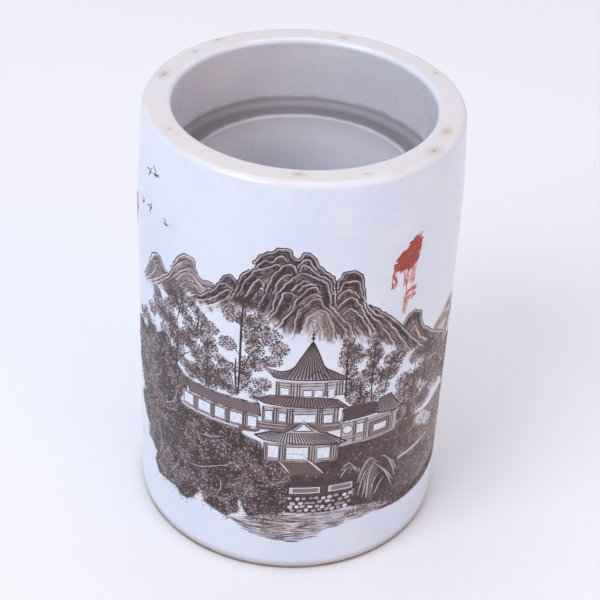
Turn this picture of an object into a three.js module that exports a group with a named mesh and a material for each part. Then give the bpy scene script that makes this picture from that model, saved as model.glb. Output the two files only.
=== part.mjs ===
// A porcelain brush pot: an upright cylinder whose shoulder turns in gently to a flat lip.
//
// Units are millimetres and +Z is up. The origin is the middle of the foot, on the table.
// Azimuth is measured from -Y, the painted front, and grows towards +X.
//
// The potter's work is kept apart, piece by piece: five clay sections luted with stepped seams,
// seven fields of glaze that lie on the clay face to face, and the fired enamels on the glaze.
import * as THREE from 'three';
import { mergeVertices } from 'three/addons/utils/BufferGeometryUtils.js';

// ---- Driving dimensions: the outside ---------------------------------------------------------
const potHeight = 130;          // foot to lip
const bodyRadius = 45;          // the straight wall, over the glaze
const lipInset = 1.5;           // how far the shoulder has come in where the lip's rounding starts
const shoulderHeight = 38;      // the stretch below the lip that turns in
const outerLipRound = 2.0;
const innerLipRound = 1.5;

// ---- Driving dimensions: the inside ----------------------------------------------------------
const mouthRadius = 35.4;       // bore at the lip
const mouthBaseRadius = 37.0;   // bore just above the ledge
const ledgeDepth = 22;          // lip to the inner edge of the ledge
const ledgeRise = 0.6;          // the ledge climbs this much towards the wall
const ledgeCornerRound = 1.8;   // pooled corner between ledge and mouth wall
const ledgeEdgeRound = 0.9;     // rounded inner edge of the ledge
const wellRadius = 30.6;        // bore below the ledge
const floorHeight = 12.4;       // glazed floor of the well, above the table
const coveRadius = 6;           // rounding between the well's wall and its floor

// ---- Driving dimensions: foot, coats and seams -----------------------------------------------
const footHeight = 3;           // depth of the recess under the pot
const footInnerRadius = 37;
const footRound = 0.8;          // worn edges of the foot ring
const glazeLineHeight = 1.3;    // where the outside glaze stops above the table
const glazeThickness = 0.4;
const enamelThickness = 0.15;
const enamelClearance = 0.15;   // keeps an enamel film off the glaze it is fired to
const slabHeight = 8;           // top of the base slab's rim, on which the wall stands
const slabSpigotRadius = 36;    // raised part of the base slab, inside the wall
const seamStep = 3.5;           // height of the steps in the two upper seams
const seamRadius = 40;          // where those steps stand

// ---- Driving dimensions: the painted picture -------------------------------------------------
const pictureBottom = 10.5;     // lowest ripple of the water, above the table
const pictureTopMargin = 17.2;  // highest peak, below the lip

// ---- Fineness of the faceted solids ----------------------------------------------------------
const turnSegments = 60;
const roundSteps = 3;           // steps in a small rounding
const coveSteps = 4;
const shoulderSteps = 3;        // rows of the shoulder between two seams
const filmRows = 10;

// ---- Levels that several pieces share --------------------------------------------------------
const lipOuterRadius = bodyRadius - lipInset;
const shoulderStart = potHeight - shoulderHeight;
const lipStart = potHeight - outerLipRound;
const ledgeLevel = potHeight - ledgeDepth;
const mouthSeam = ledgeLevel + ledgeRise + ledgeCornerRound;
const coveTop = floorHeight + coveRadius;
const girthStep = 360 / turnSegments;

// ---- Outlines --------------------------------------------------------------------------------

// Radius of the outer glaze at a height: straight, then turning in as the square of the rise.
function wallRadius(height) {
  const rise = Math.max(0, (height - shoulderStart) / (lipStart - shoulderStart));
  return bodyRadius - lipInset * rise * rise;
}

// Evenly spaced heights between two levels, both ends included.
function levels(low, high, steps) {
  return Array.from({ length: steps + 1 }, (_, step) => low + ((high - low) * step) / steps);
}

// Points on an arc, from one angle to another in degrees, 0 pointing outwards and 90 up.
function arc(centreRadius, centreHeight, radius, fromDegrees, toDegrees, steps) {
  return levels(fromDegrees, toDegrees, steps).map((degrees) => {
    const angle = THREE.MathUtils.degToRad(degrees);
    return [centreRadius + radius * Math.cos(angle), centreHeight + radius * Math.sin(angle)];
  });
}

// The outside between two levels, at a depth under the glaze's face, from low to high.
function outsideFace(depth, heights) {
  return heights.map((height) => [wallRadius(height) - depth, height]);
}

// Heights at which the shoulder has a row, in the two stretches that its seams divide.
const shoulderRows = levels(shoulderStart, mouthSeam - seamStep, shoulderSteps);
const mouthRows = levels(mouthSeam - seamStep, lipStart, shoulderSteps);

// Each face below runs from the outside of the pot over the lip and down to the axis.
// The depth is 0 on the glaze and glazeThickness on the clay beneath it.
function lipFace(depth) {
  const outer = arc(lipOuterRadius - outerLipRound, lipStart, outerLipRound - depth, 0, 90, roundSteps);
  const inner = arc(mouthRadius + innerLipRound, potHeight - innerLipRound,
    innerLipRound - depth, 90, 180, roundSteps);
  return [...outer, ...inner];
}

function mouthFace(depth) {
  return [[mouthRadius + depth, potHeight - innerLipRound], [mouthBaseRadius + depth, mouthSeam]];
}

function ledgeFace(depth) {
  const corner = arc(mouthBaseRadius - ledgeCornerRound, mouthSeam,
    ledgeCornerRound + depth, 0, -90, roundSteps);
  const edge = arc(wellRadius + ledgeEdgeRound, ledgeLevel - ledgeEdgeRound,
    ledgeEdgeRound - depth, 90, 180, roundSteps);
  return [...corner, ...edge];
}

function wellFace(depth) {
  return [[wellRadius + depth, ledgeLevel - ledgeEdgeRound], [wellRadius + depth, coveTop]];
}

function floorFace(depth) {
  const cove = arc(wellRadius - coveRadius, coveTop, coveRadius + depth, 0, -90, coveSteps);
  return [...cove, [0, floorHeight - depth]];
}

// ---- Solids ----------------------------------------------------------------------------------

// Leaves only positions, joins shared corners, drops faces without area and turns all outwards.
function closedBody(geometry) {
  geometry.deleteAttribute('normal');
  geometry.deleteAttribute('uv');
  const merged = mergeVertices(geometry, 1e-4);
  const index = merged.getIndex().array;
  const at = (corner) => new THREE.Vector3().fromBufferAttribute(merged.getAttribute('position'), corner);
  const faces = [];
  let volume = 0;
  for (let first = 0; first < index.length; first += 3) {
    const [a, b, c] = index.slice(first, first + 3);
    if (a === b || b === c || c === a) continue;
    faces.push([a, b, c]);
    volume += at(a).dot(at(b).cross(at(c)));
  }
  merged.setIndex(faces.flatMap(([a, b, c]) => (volume > 0 ? [a, b, c] : [a, c, b])));
  merged.computeVertexNormals();
  return merged;
}

// A solid of revolution about +Z. The outline is a list of [radius, height] that closes on itself,
// or that starts and ends on the axis.
function turned(outline) {
  const onAxis = outline[0][0] === 0;
  const points = onAxis ? outline : [...outline, outline[0]];
  const geometry = new THREE.LatheGeometry(points.map(([r, z]) => new THREE.Vector2(r, z)), turnSegments);
  geometry.rotateX(Math.PI / 2);
  return closedBody(geometry);
}

// A coat between its face and the same face one glaze thickness deeper.
function coat(face) {
  return turned([...face(0), ...face(glazeThickness).reverse()]);
}

// Value of a list of [azimuth, low, high] at an azimuth, between its points.
function between(outline, azimuth) {
  const last = outline.findIndex(([at]) => at >= azimuth);
  if (last <= 0) return last === 0 ? outline[0].slice(1) : outline.at(-1).slice(1);
  const [from, to] = [outline[last - 1], outline[last]];
  const share = (azimuth - from[0]) / (to[0] - from[0]);
  return [1, 2].map((field) => from[field] + share * (to[field] - from[field]));
}

// An enamel film on the outside: a closed sheet between a low and a high edge, each a height at
// every azimuth. It bends with the glaze and stands off it by the clearance alone.
function film(azimuths, edges, rows) {
  const positions = [];
  for (const depth of [-enamelClearance, -enamelClearance - enamelThickness]) {
    azimuths.forEach((azimuth, column) => {
      const angle = THREE.MathUtils.degToRad(azimuth);
      for (const height of levels(...edges[column], rows)) {
        const radius = wallRadius(height) - depth;
        positions.push(radius * Math.sin(angle), -radius * Math.cos(angle), height);
      }
    });
  }
  const stride = rows + 1;
  const layer = azimuths.length * stride;
  const faces = [];
  const quad = (a, b, c, d) => faces.push(a, b, c, a, c, d);
  for (let column = 0; column + 1 < azimuths.length; column += 1) {
    const here = column * stride;
    const next = here + stride;
    for (let row = 0; row < rows; row += 1) {
      quad(here + row, here + row + 1, next + row + 1, next + row);
      quad(layer + here + row, layer + next + row, layer + next + row + 1, layer + here + row + 1);
    }
    quad(here, next, layer + next, layer + here);
    quad(here + rows, layer + here + rows, layer + next + rows, next + rows);
  }
  const end = (azimuths.length - 1) * stride;
  for (let row = 0; row < rows; row += 1) {
    quad(row, layer + row, layer + row + 1, row + 1);
    quad(end + row, end + row + 1, layer + end + row + 1, layer + end + row);
  }
  const geometry = new THREE.BufferGeometry();
  geometry.setAttribute('position', new THREE.Float32BufferAttribute(positions, 3));
  geometry.setIndex(faces);
  return closedBody(geometry);
}

// ---- Colours of the fired materials ----------------------------------------------------------
const finishes = {
  porcelain: { color: 0xd9d2c8, roughness: 0.85 },
  biscuit: { color: 0xa88a6c, roughness: 0.9 },
  glaze: { color: 0xdfe6f4, roughness: 0.12 },
  lipGlaze: { color: 0xe6dfdc, roughness: 0.2 },
  stainedGlaze: { color: 0x8f8a92, roughness: 0.3 },
  sepia: { color: 0x5a4444, roughness: 0.35 },
  ironRed: { color: 0xb5502a, roughness: 0.35 },
};

const pot = new THREE.Group();

function add(name, geometry, finish) {
  const mesh = new THREE.Mesh(geometry, new THREE.MeshStandardMaterial({ metalness: 0, ...finish }));
  mesh.name = name;
  pot.add(mesh);
}

// ---- Clay sections, from the table up --------------------------------------------------------
const clayRadius = bodyRadius - glazeThickness;

// Foot ring: bare clay, rounded where it meets the table.
add('foot_ring', turned([
  ...arc(footInnerRadius + footRound, footRound, footRound, 180, 270, roundSteps),
  ...arc(clayRadius - footRound, footRound, footRound, 270, 360, roundSteps),
  [clayRadius, footHeight],
  [footInnerRadius, footHeight],
]), finishes.biscuit);

// Base slab: a shallow dish whose spigot stands inside the wall and carries the floor's cove.
add('base_slab', turned([
  [0, footHeight],
  [clayRadius, footHeight],
  [clayRadius, slabHeight],
  [slabSpigotRadius, slabHeight],
  [slabSpigotRadius, coveTop],
  ...floorFace(glazeThickness),
]), finishes.porcelain);

// Body wall: the thick straight cylinder, over the spigot below and stepped for the seam above.
add('body_wall', turned([
  [slabSpigotRadius, slabHeight],
  [clayRadius, slabHeight],
  [clayRadius, shoulderStart],
  [seamRadius, shoulderStart],
  [seamRadius, shoulderStart + seamStep],
  [wellRadius + glazeThickness, shoulderStart + seamStep],
  [wellRadius + glazeThickness, coveTop],
  [slabSpigotRadius, coveTop],
]), finishes.porcelain);

// Shoulder ring: from the body's seam to the ledge, which is its upper inner edge.
add('shoulder_ring', turned([
  [seamRadius, shoulderStart],
  ...outsideFace(glazeThickness, shoulderRows),
  [seamRadius, mouthSeam - seamStep],
  [seamRadius, mouthSeam],
  ...ledgeFace(glazeThickness),
  [wellRadius + glazeThickness, shoulderStart + seamStep],
  [seamRadius, shoulderStart + seamStep],
]), finishes.porcelain);

// Mouth ring: the thinner collar above the ledge, with the lip.
add('mouth_ring', turned([
  [seamRadius, mouthSeam - seamStep],
  ...outsideFace(glazeThickness, mouthRows).slice(0, -1),
  ...lipFace(glazeThickness),
  [mouthBaseRadius + glazeThickness, mouthSeam],
  [seamRadius, mouthSeam],
]), finishes.porcelain);

// ---- Glaze fields ----------------------------------------------------------------------------
const outsideLevels = [glazeLineHeight + glazeThickness, ...shoulderRows, ...mouthRows.slice(1)];
const glazeLine = [clayRadius, glazeLineHeight];

add('outer_glaze', turned([
  glazeLine,
  ...outsideFace(0, outsideLevels),
  ...outsideFace(glazeThickness, outsideLevels).reverse(),
]), finishes.glaze);
add('lip_glaze', coat(lipFace), finishes.lipGlaze);
add('mouth_glaze', coat(mouthFace), finishes.glaze);
add('ledge_glaze', coat(ledgeFace), finishes.stainedGlaze);
add('well_glaze', coat(wellFace), finishes.glaze);
add('floor_glaze', coat(floorFace), finishes.glaze);
add('underside_glaze', turned([
  [0, footHeight - glazeThickness],
  [footInnerRadius, footHeight - glazeThickness],
  [footInnerRadius, footHeight],
  [0, footHeight],
]), finishes.glaze);

// ---- Enamels on the outside glaze ------------------------------------------------------------

// The painted country: azimuth in degrees, then its low and high edge as shares of the picture's
// height, from the thicket at the left over the peaks to the slopes that fade out behind.
const landscapeOutline = [
  [-78, 0.3, 0.48], [-66, 0.15, 0.73], [-57, 0.07, 0.82], [-48, 0.06, 0.84], [-38, 0.05, 0.9],
  [-25, 0.06, 0.9], [-15, 0.02, 0.96], [-5, 0, 1], [4, 0, 1], [12, 0.02, 0.95], [20, 0.04, 0.93],
  [28, 0.05, 0.83], [36, 0.05, 0.765], [41, 0.05, 0.725], [46, 0.05, 0.735], [57, 0.05, 0.64],
  [72, 0.04, 0.66], [90, 0.05, 0.6], [110, 0.08, 0.45], [126, 0.13, 0.3],
];
const pictureTop = potHeight - pictureTopMargin;
const onPicture = (share) => pictureBottom + share * (pictureTop - pictureBottom);
const filmAzimuths = [];
for (let azimuth = landscapeOutline[0][0]; azimuth <= landscapeOutline.at(-1)[0]; azimuth += girthStep) {
  filmAzimuths.push(azimuth);
}
add('landscape_enamel', film(
  filmAzimuths,
  filmAzimuths.map((azimuth) => between(landscapeOutline, azimuth).map(onPicture)),
  filmRows,
), finishes.sepia);

// A small lozenge of enamel: its middle as azimuth and share of the picture, its width and height.
const birdColumns = 9;
const birdRows = 4;
const lozengeEdge = 0.12;       // height left at a lozenge's ends, as a share of its height
function birdFilm({ azimuth, share, width, height }) {
  const halfTurn = THREE.MathUtils.radToDeg(width / 2 / bodyRadius);
  const azimuths = levels(azimuth - halfTurn, azimuth + halfTurn, birdColumns - 1);
  const edges = azimuths.map((at) => {
    const fullness = Math.max(lozengeEdge, 1 - Math.abs(at - azimuth) / halfTurn);
    const middle = onPicture(share);
    return [middle - (fullness * height) / 2, middle + (fullness * height) / 2];
  });
  return film(azimuths, edges, birdRows);
}

add('red_bird_enamel', birdFilm({ azimuth: 40, share: 0.86, width: 10, height: 24 }), finishes.ironRed);
add('small_red_bird_enamel', birdFilm({ azimuth: -80, share: 0.87, width: 8, height: 12 }), finishes.ironRed);
const flock = [
  { azimuth: -62.5, share: 1.04, width: 5, height: 3.2 },
  { azimuth: -57.5, share: 1.055, width: 5, height: 4 },
  { azimuth: -69, share: 0.93, width: 5, height: 3 },
  { azimuth: -61, share: 0.935, width: 4.5, height: 3 },
  { azimuth: -50.5, share: 0.93, width: 4, height: 3 },
];
flock.forEach((bird, count) => add(`far_bird_enamel_${count + 1}`, birdFilm(bird), finishes.sepia));

export default pot;
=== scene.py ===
"""Looks of a porcelain brush pot: its glazes, lip and foot, and the landscape painted round it.

Sizes in the classes are millimetres, on the part's own frame: +Z up, the painted front towards -Y.
The picture is drawn on the unrolled wall. A point of it is (s, z): s is the way round the wall
from the front, growing towards +X, and z is the height above the table.
"""

import logging
import math
from collections.abc import Callable, Sequence
from dataclasses import dataclass, field
from enum import Enum, IntEnum

import bpy
import numpy as np
from mathutils import Matrix, Vector


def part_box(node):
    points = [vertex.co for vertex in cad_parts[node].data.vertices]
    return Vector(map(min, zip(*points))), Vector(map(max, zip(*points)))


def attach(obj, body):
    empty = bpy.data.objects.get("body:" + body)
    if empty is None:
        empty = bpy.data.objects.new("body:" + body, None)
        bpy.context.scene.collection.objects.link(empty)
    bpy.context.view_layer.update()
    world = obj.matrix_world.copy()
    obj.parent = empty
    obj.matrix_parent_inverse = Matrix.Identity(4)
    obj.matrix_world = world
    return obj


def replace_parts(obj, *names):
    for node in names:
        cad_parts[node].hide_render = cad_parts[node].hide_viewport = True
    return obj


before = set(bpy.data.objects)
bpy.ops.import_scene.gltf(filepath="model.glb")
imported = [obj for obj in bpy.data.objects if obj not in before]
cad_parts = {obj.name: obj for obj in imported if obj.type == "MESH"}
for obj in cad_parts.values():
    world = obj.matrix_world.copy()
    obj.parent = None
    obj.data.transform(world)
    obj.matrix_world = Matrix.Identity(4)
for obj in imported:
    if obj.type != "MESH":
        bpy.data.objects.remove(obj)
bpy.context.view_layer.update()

MM = 0.001
SHARP_ANGLE = math.radians(50)
ROOT = "root"
LOG = logging.getLogger("brush_pot")

Array = np.ndarray
Span = tuple[float, float]
Points = Sequence[Span] | Array
Faces = list[tuple[int, ...]]
Stain = Callable[[Array, Array, Array], Array]
Material, Tree, Socket = bpy.types.Material, bpy.types.NodeTree, bpy.types.NodeSocket
Piece = bpy.types.Object

TURNS = 288  # steps of a turned piece round its axis
LIP_TURNS = 480
STATION_MM = 1.5  # length of one step of a brush line
LIP_DIP_REACH = 12.0  # height below the lip over which its dip fades out
LINE_LIFTS = (-0.01, 0.07)  # how far a stroke's edges and crest stand above the glaze
LIGHT_LIFTS = (0.012, 0.085)
BIRD_LIFTS = (-0.02, 0.05)


# ---- Colour and small numeric tools ----------------------------------------------------------


def linear(hex_colour: str) -> Array:
    """Turns an sRGB hex colour into linear light.

    Args:
        hex_colour: Six hex digits after a hash.

    Returns:
        Three linear values from 0 to 1.
    """
    value = np.array([int(hex_colour[at : at + 2], 16) for at in (1, 3, 5)]) / 255
    return np.where(value <= 0.04045, value / 12.92, ((value + 0.055) / 1.055) ** 2.4)


def ramp(value: float | Array, stops: Sequence[tuple[float, str]]) -> Array:
    """Colours an array by straight blends between hex stops.

    Args:
        value: Numbers of any shape.
        stops: Pairs of a number and its colour, in rising order.

    Returns:
        Linear colours, with one more axis of length 3.
    """
    at = [stop for stop, _ in stops]
    colours = np.array([linear(colour) for _, colour in stops])
    return np.stack([np.interp(value, at, colours[:, channel]) for channel in range(3)], axis=-1)


def smooth(low: float | Array, high: float | Array, value: Array) -> Array:
    """Cubic step: 0 below low, 1 above high, and 3t^2 - 2t^3 between."""
    share = np.clip((value - low) / (np.asarray(high) - low), 0, 1)
    return share * share * (3 - 2 * share)


def clouds(s: Array, z: Array, cell: float, seed: int, octaves: int = 3) -> Array:
    """Value noise: random numbers at the corners of square cells, blended by a cubic step.

    Args:
        s: Way round the wall, in millimetres.
        z: Height, in millimetres.
        cell: Side of the largest cells; each octave halves it and its weight.
        seed: Seed of the random table.
        octaves: How many sizes of cell are added.

    Returns:
        Values from 0 to 1 in the shape of s and z.
    """
    side = 64
    total, weight = np.zeros(np.broadcast(s, z).shape), 0.0
    for octave in range(octaves):
        table = np.random.default_rng(seed + octave).random((side, side))
        u, v = s / cell * 2**octave + 17.3, z / cell * 2**octave + 5.1
        i, j = np.floor(u).astype(int), np.floor(v).astype(int)
        fu, fv = smooth(0, 1, u - i), smooth(0, 1, v - j)
        i0, j0, i1, j1 = i % side, j % side, (i + 1) % side, (j + 1) % side
        near = table[i0, j0] * (1 - fu) + table[i1, j0] * fu
        far = table[i0, j1] * (1 - fu) + table[i1, j1] * fu
        total += (near * (1 - fv) + far * fv) / 2**octave
        weight += 1 / 2**octave
    return total / weight


def spaced(points: Points, count: int) -> Array:
    """Evenly spaced points along a broken line.

    Args:
        points: Corners of the broken line.
        count: How many to make.

    Returns:
        An array of count points.
    """
    given = np.asarray(points, float)
    length = np.concatenate([[0], np.cumsum(np.hypot(*np.diff(given, axis=0).T))])
    even = np.linspace(0, length[-1], count)
    return np.stack([np.interp(even, length, given[:, axis]) for axis in range(2)], axis=-1)


def closed(outline: Points) -> Array:
    """An outline with its first corner again at its end."""
    given = np.asarray(outline, float)
    return np.concatenate([given, given[:1]])


def curve(points: Points, count: int) -> Array:
    """A smooth line through points: Catmull-Rom cubics, sampled at even lengths.

    Args:
        points: At least two points that the line passes.
        count: How many samples to return.

    Returns:
        An array of count points.
    """
    given = np.asarray(points, float)
    knots = np.concatenate([2 * given[:1] - given[1:2], given, 2 * given[-1:] - given[-2:-1]])
    t = np.linspace(0, len(given) - 1, count * 4)
    i = np.minimum(t.astype(int), len(given) - 2)
    u = (t - i)[:, None]
    a, b, c, d = knots[i], knots[i + 1], knots[i + 2], knots[i + 3]
    dense = 0.5 * (2 * b + (c - a) * u + (2 * a - 5 * b + 4 * c - d) * u**2 + (3 * b - a - 3 * c + d) * u**3)
    return spaced(dense, count)


def inside(outline: Points, s: Array, z: Array) -> Array:
    """Even-odd test of many points against one closed outline.

    Args:
        outline: Corners of the shape.
        s: Way round the wall of each point.
        z: Height of each point.

    Returns:
        True for each point in the outline.
    """
    result = np.zeros(s.shape, bool)
    around = closed(outline)
    for (s0, z0), (s1, z1) in zip(around[:-1], around[1:]):
        crosses = (z0 > z) != (z1 > z)
        result ^= crosses & (s < (s1 - s0) * (z - z0) / (z1 - z0 + 1e-12) + s0)
    return result


def distance(line: Array, s: Array, z: Array) -> Array:
    """Distance of many points from an open line of straight pieces.

    Args:
        line: Points of the line.
        s: Way round the wall of each point.
        z: Height of each point.

    Returns:
        Distances, in the shape of s and z.
    """
    nearest = np.full(s.shape, np.inf)
    for (s0, z0), (s1, z1) in zip(line[:-1], line[1:]):
        ds, dz = s1 - s0, z1 - z0
        along = np.clip(((s - s0) * ds + (z - z0) * dz) / (ds * ds + dz * dz + 1e-12), 0, 1)
        nearest = np.minimum(nearest, np.hypot(s - s0 - along * ds, z - z0 - along * dz))
    return nearest


# ---- Sizes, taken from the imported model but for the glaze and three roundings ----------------


def corners(node: str) -> Array:
    """Lowest and highest corner of a CAD node, in millimetres."""
    return np.array([list(corner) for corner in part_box(node)]) / MM


def bore(node: str) -> float:
    """Smallest radius of a CAD node about the pot's axis, in millimetres."""
    flat = np.array([vertex.co[:2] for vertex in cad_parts[node].data.vertices])
    return float(np.hypot(*flat.T).min() / MM)


@dataclass(frozen=True)
class PotSizes:
    """Sizes of the pot that its glazes and its picture follow."""

    height: float
    body_radius: float
    lip_inset: float
    shoulder_start: float
    lip_start: float
    glaze_line: float
    mouth_radius: float
    mouth_base_radius: float
    mouth_seam: float
    inner_lip_round: float
    ledge_level: float
    well_radius: float
    cove_top: float
    floor_height: float
    foot_height: float
    foot_inner_radius: float
    foot_outer_radius: float
    glaze: float = 0.4
    ledge_edge_round: float = 0.9
    ledge_corner_round: float = 1.8
    foot_round: float = 0.8

    @classmethod
    def from_frame(cls) -> "PotSizes":
        """Reads the sizes from the boxes and bores of the CAD nodes.

        Returns:
            The sizes.
        """
        outer, lip, mouth = corners("outer_glaze"), corners("lip_glaze"), corners("mouth_glaze")
        ledge, bottom, foot = corners("ledge_glaze"), corners("floor_glaze"), corners("foot_ring")
        return cls(
            height=lip[1, 2],
            body_radius=outer[1, 0],
            lip_inset=outer[1, 0] - lip[1, 0],
            shoulder_start=corners("shoulder_ring")[0, 2],
            lip_start=outer[1, 2],
            glaze_line=outer[0, 2],
            mouth_radius=bore("mouth_glaze"),
            mouth_base_radius=mouth[1, 0] - cls.glaze,
            mouth_seam=mouth[0, 2],
            inner_lip_round=lip[1, 2] - mouth[1, 2],
            ledge_level=ledge[0, 2] + cls.ledge_edge_round,
            well_radius=bore("well_glaze"),
            cove_top=bottom[1, 2],
            floor_height=bottom[0, 2] + cls.glaze,
            foot_height=foot[1, 2],
            foot_inner_radius=bore("foot_ring"),
            foot_outer_radius=foot[1, 0],
        )

    @property
    def lip_round(self) -> float:
        """Radius of the rounding outside the lip."""
        return self.height - self.lip_start

    def wall_radius(self, z: Array) -> Array:
        """Outer radius at a height: straight, then turning in as the square of the rise."""
        rise = np.clip((z - self.shoulder_start) / (self.lip_start - self.shoulder_start), 0, 1)
        return self.body_radius - self.lip_inset * rise**2

    def unevenness(self, angle: Array, z: Array) -> Array:
        """What the thrower's hand leaves: slow waves round the wall and up it, tenths of a mm."""
        slow = 0.07 * np.sin(2 * angle + 0.6) + 0.04 * np.sin(3 * angle + z / 23)
        return slow + 0.02 * np.sin(z / 4.5 + 1.5 * np.sin(angle)) - 0.13

    def lip_dip(self, angle: Array) -> Array:
        """How far the lip lies below the full height: slow waves, under two tenths of a mm."""
        return 0.1 + 0.05 * np.sin(angle + 0.9) + 0.03 * np.sin(3 * angle)

    def on_wall(self, s: Array, z: Array, lift: float | Array) -> Array:
        """Places points of the unrolled picture on the wall.

        The angle is s over the body's radius, and the radius is the wall's own, with its
        unevenness and the lift: x = r sin a, y = -r cos a.

        Args:
            s: Way round the wall from the front.
            z: Height above the table.
            lift: Height above the glaze.

        Returns:
            Points in space, with one more axis of length 3, in millimetres.
        """
        angle = s / self.body_radius
        radius = self.wall_radius(z) + self.unevenness(angle, z) + lift
        return np.stack([radius * np.sin(angle), -radius * np.cos(angle), z + 0 * s], axis=-1)


# ---- Meshes ----------------------------------------------------------------------------------


def covered(shade: Array, cover: Array) -> Array:
    """Linear colours and how far each covers what is under it, as rows of four."""
    return np.concatenate([np.broadcast_to(shade, (len(cover), 3)), cover[:, None]], axis=1)


def scatter(rng: np.random.Generator, region: Points, count: int, tries: int) -> Array:
    """At most count random places in a region, out of so many tries in the oblong round it.

    Args:
        rng: Source of the random draws.
        region: Outline of the region.
        count: The most places to return.
        tries: How many places are drawn.

    Returns:
        Places by (s, z).
    """
    outline = np.asarray(region, float)
    places = rng.uniform(outline.min(axis=0), outline.max(axis=0), (tries, 2))
    return places[inside(outline, *places.T)][:count]


def make_piece(
    name: str,
    points: Array,
    faces: Faces | Array,
    material: Material,
    colours: Array | None = None,
) -> Piece:
    """Puts a surface into the scene as one piece that rides on the pot.

    Args:
        name: The piece's name.
        points: Corners in millimetres, one row each.
        faces: Corner numbers of each face.
        material: Its finish.
        colours: Linear colour and cover of each corner, kept as the attribute "ink".

    Returns:
        The new object.
    """
    mesh = bpy.data.meshes.new(name)
    rows = faces.tolist() if isinstance(faces, Array) else faces
    mesh.from_pydata((np.asarray(points) * MM).tolist(), [], rows)
    if colours is not None:
        layer = mesh.attributes.new("ink", "FLOAT_COLOR", "POINT")
        layer.data.foreach_set("color", np.ascontiguousarray(colours, np.float32).ravel())
    mesh.shade_smooth()
    mesh.set_sharp_from_angle(angle=SHARP_ANGLE)
    mesh.materials.append(material)
    piece = bpy.data.objects.new(name, mesh)
    bpy.context.scene.collection.objects.link(piece)
    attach(piece, ROOT)
    LOG.info("%s: %d corners, %d faces", name, len(mesh.vertices), len(mesh.polygons))
    return piece


def arc(centre: Span, radius: float, start: float, end: float, steps: int) -> Array:
    """Points on an arc of a profile, from start to end in degrees, 0 outwards and 90 up."""
    angle = np.radians(np.linspace(start, end, steps))
    return np.stack([centre[0] + radius * np.cos(angle), centre[1] + radius * np.sin(angle)], axis=-1)


def rise(start: Span, end: Span, steps: int) -> Array:
    """Evenly spaced points on a straight stretch of a profile."""
    return np.linspace(start, end, steps)


def revolve(profile: Array, turns: int) -> tuple[Array, Array, Array]:
    """A surface of revolution about +Z: the profile at every angle.

    Args:
        profile: Rows of radius and height; the last joins the first.
        turns: Steps round the axis.

    Returns:
        Corners, profile by profile, then quads, then each corner's angle.
    """
    angle = np.arange(turns) * 2 * np.pi / turns
    radius, height = profile[None, :, 0], profile[None, :, 1]
    points = np.stack(
        [radius * np.sin(angle)[:, None], -radius * np.cos(angle)[:, None], height + 0 * angle[:, None]],
                      axis=-1
    )
    count = len(profile)
    here = np.arange(count)
    after = (here + 1) % count
    column = (np.arange(turns) * count)[:, None]
    beside = ((np.arange(turns) + 1) % turns * count)[:, None]
    quads = np.stack([column + here, beside + here, beside + after, column + after], axis=-1)
    return points.reshape(-1, 3), quads.reshape(-1, 4), np.repeat(angle, count)


# ---- Finishes --------------------------------------------------------------------------------


def add_node(tree: Tree, kind: str, settings: dict | None = None, **inputs: object) -> bpy.types.Node:
    """Adds a node with its settings and links.

    Args:
        tree: Where the node goes.
        kind: The node's type, without the leading ShaderNode.
        settings: Properties of the node itself.
        **inputs: Input values or sockets to link, by name, with _ for a space. A name that ends
            in a number, such as i1, is the input at that place.

    Returns:
        The new node.
    """
    node = tree.nodes.new("ShaderNode" + kind)
    for name, value in (settings or {}).items():
        setattr(node, name, value)
    for name, value in inputs.items():
        key = int(name[1:]) if name[0] == "i" and name[1:].isdigit() else name.replace("_", " ")
        if isinstance(value, Socket):
            tree.links.new(value, node.inputs[key])
        else:
            node.inputs[key].default_value = value
    return node


def surface(tree: Tree, **inputs: object) -> None:
    """Adds the surface shader with its inputs, and the material's output."""
    shader = add_node(tree, "BsdfPrincipled", None, **inputs)
    add_node(tree, "OutputMaterial", None, Surface=shader.outputs["BSDF"])


def new_material(name: str) -> tuple[Material, Tree, Socket]:
    """Makes an empty material and its object coordinates.

    Args:
        name: The name to give it.

    Returns:
        The material, its node tree and its object coordinates.
    """
    material = bpy.data.materials.new(name)
    material.use_nodes = True
    tree = material.node_tree
    tree.nodes.clear()
    place = add_node(tree, "TexCoord").outputs["Object"]
    return material, tree, place


def noise(tree: Tree, place: Socket, grain_mm: float, detail: float = 2.0) -> Socket:
    """Noise whose largest marks are grain_mm across, as a value about 0.5.

    Args:
        tree: The material's node tree.
        place: Coordinates that the noise is laid on.
        grain_mm: Size of the largest marks.
        detail: How many finer layers are added.

    Returns:
        The noise's output.
    """
    node = add_node(tree, "TexNoise", None, Vector=place, Scale=1 / (grain_mm * MM), Detail=detail,
                    Roughness=0.55)
    return node.outputs["Fac"]


def spread(tree: Tree, value: Socket, low: float, high: float, to: Span) -> Socket:
    """Stretches a value from one range to another and holds it there."""
    settings = {"clamp": True, "interpolation_type": "SMOOTHSTEP"}
    return add_node(tree, "MapRange", settings, Value=value, i1=low, i2=high, i3=to[0], i4=to[1]).outputs[0]


def blend(tree: Tree, share: object, a: object, b: object, mode: str = "MIX") -> Socket:
    """Mixes two colours by a share.

    Args:
        tree: The material's node tree.
        share: How much of b shows.
        a: First colour or socket.
        b: Second colour or socket.
        mode: The mixer's blend mode.

    Returns:
        The mixed colour.
    """
    settings = {"data_type": "RGBA", "blend_type": mode, "clamp_factor": True}
    node = tree.nodes.new("ShaderNodeMix")
    for name, value in settings.items():
        setattr(node, name, value)
    sockets = {"Factor_Float": share, "A_Color": a, "B_Color": b}
    for socket in node.inputs:
        if socket.identifier in sockets:
            value = sockets[socket.identifier]
            if isinstance(value, Socket):
                tree.links.new(value, socket)
            else:
                socket.default_value = value
    return next(socket for socket in node.outputs if socket.identifier == "Result_Color")


def opaque(hex_colour: str) -> tuple[float, float, float, float]:
    """A hex colour as the four linear values a colour socket takes."""
    return (*linear(hex_colour), 1.0)


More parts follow.
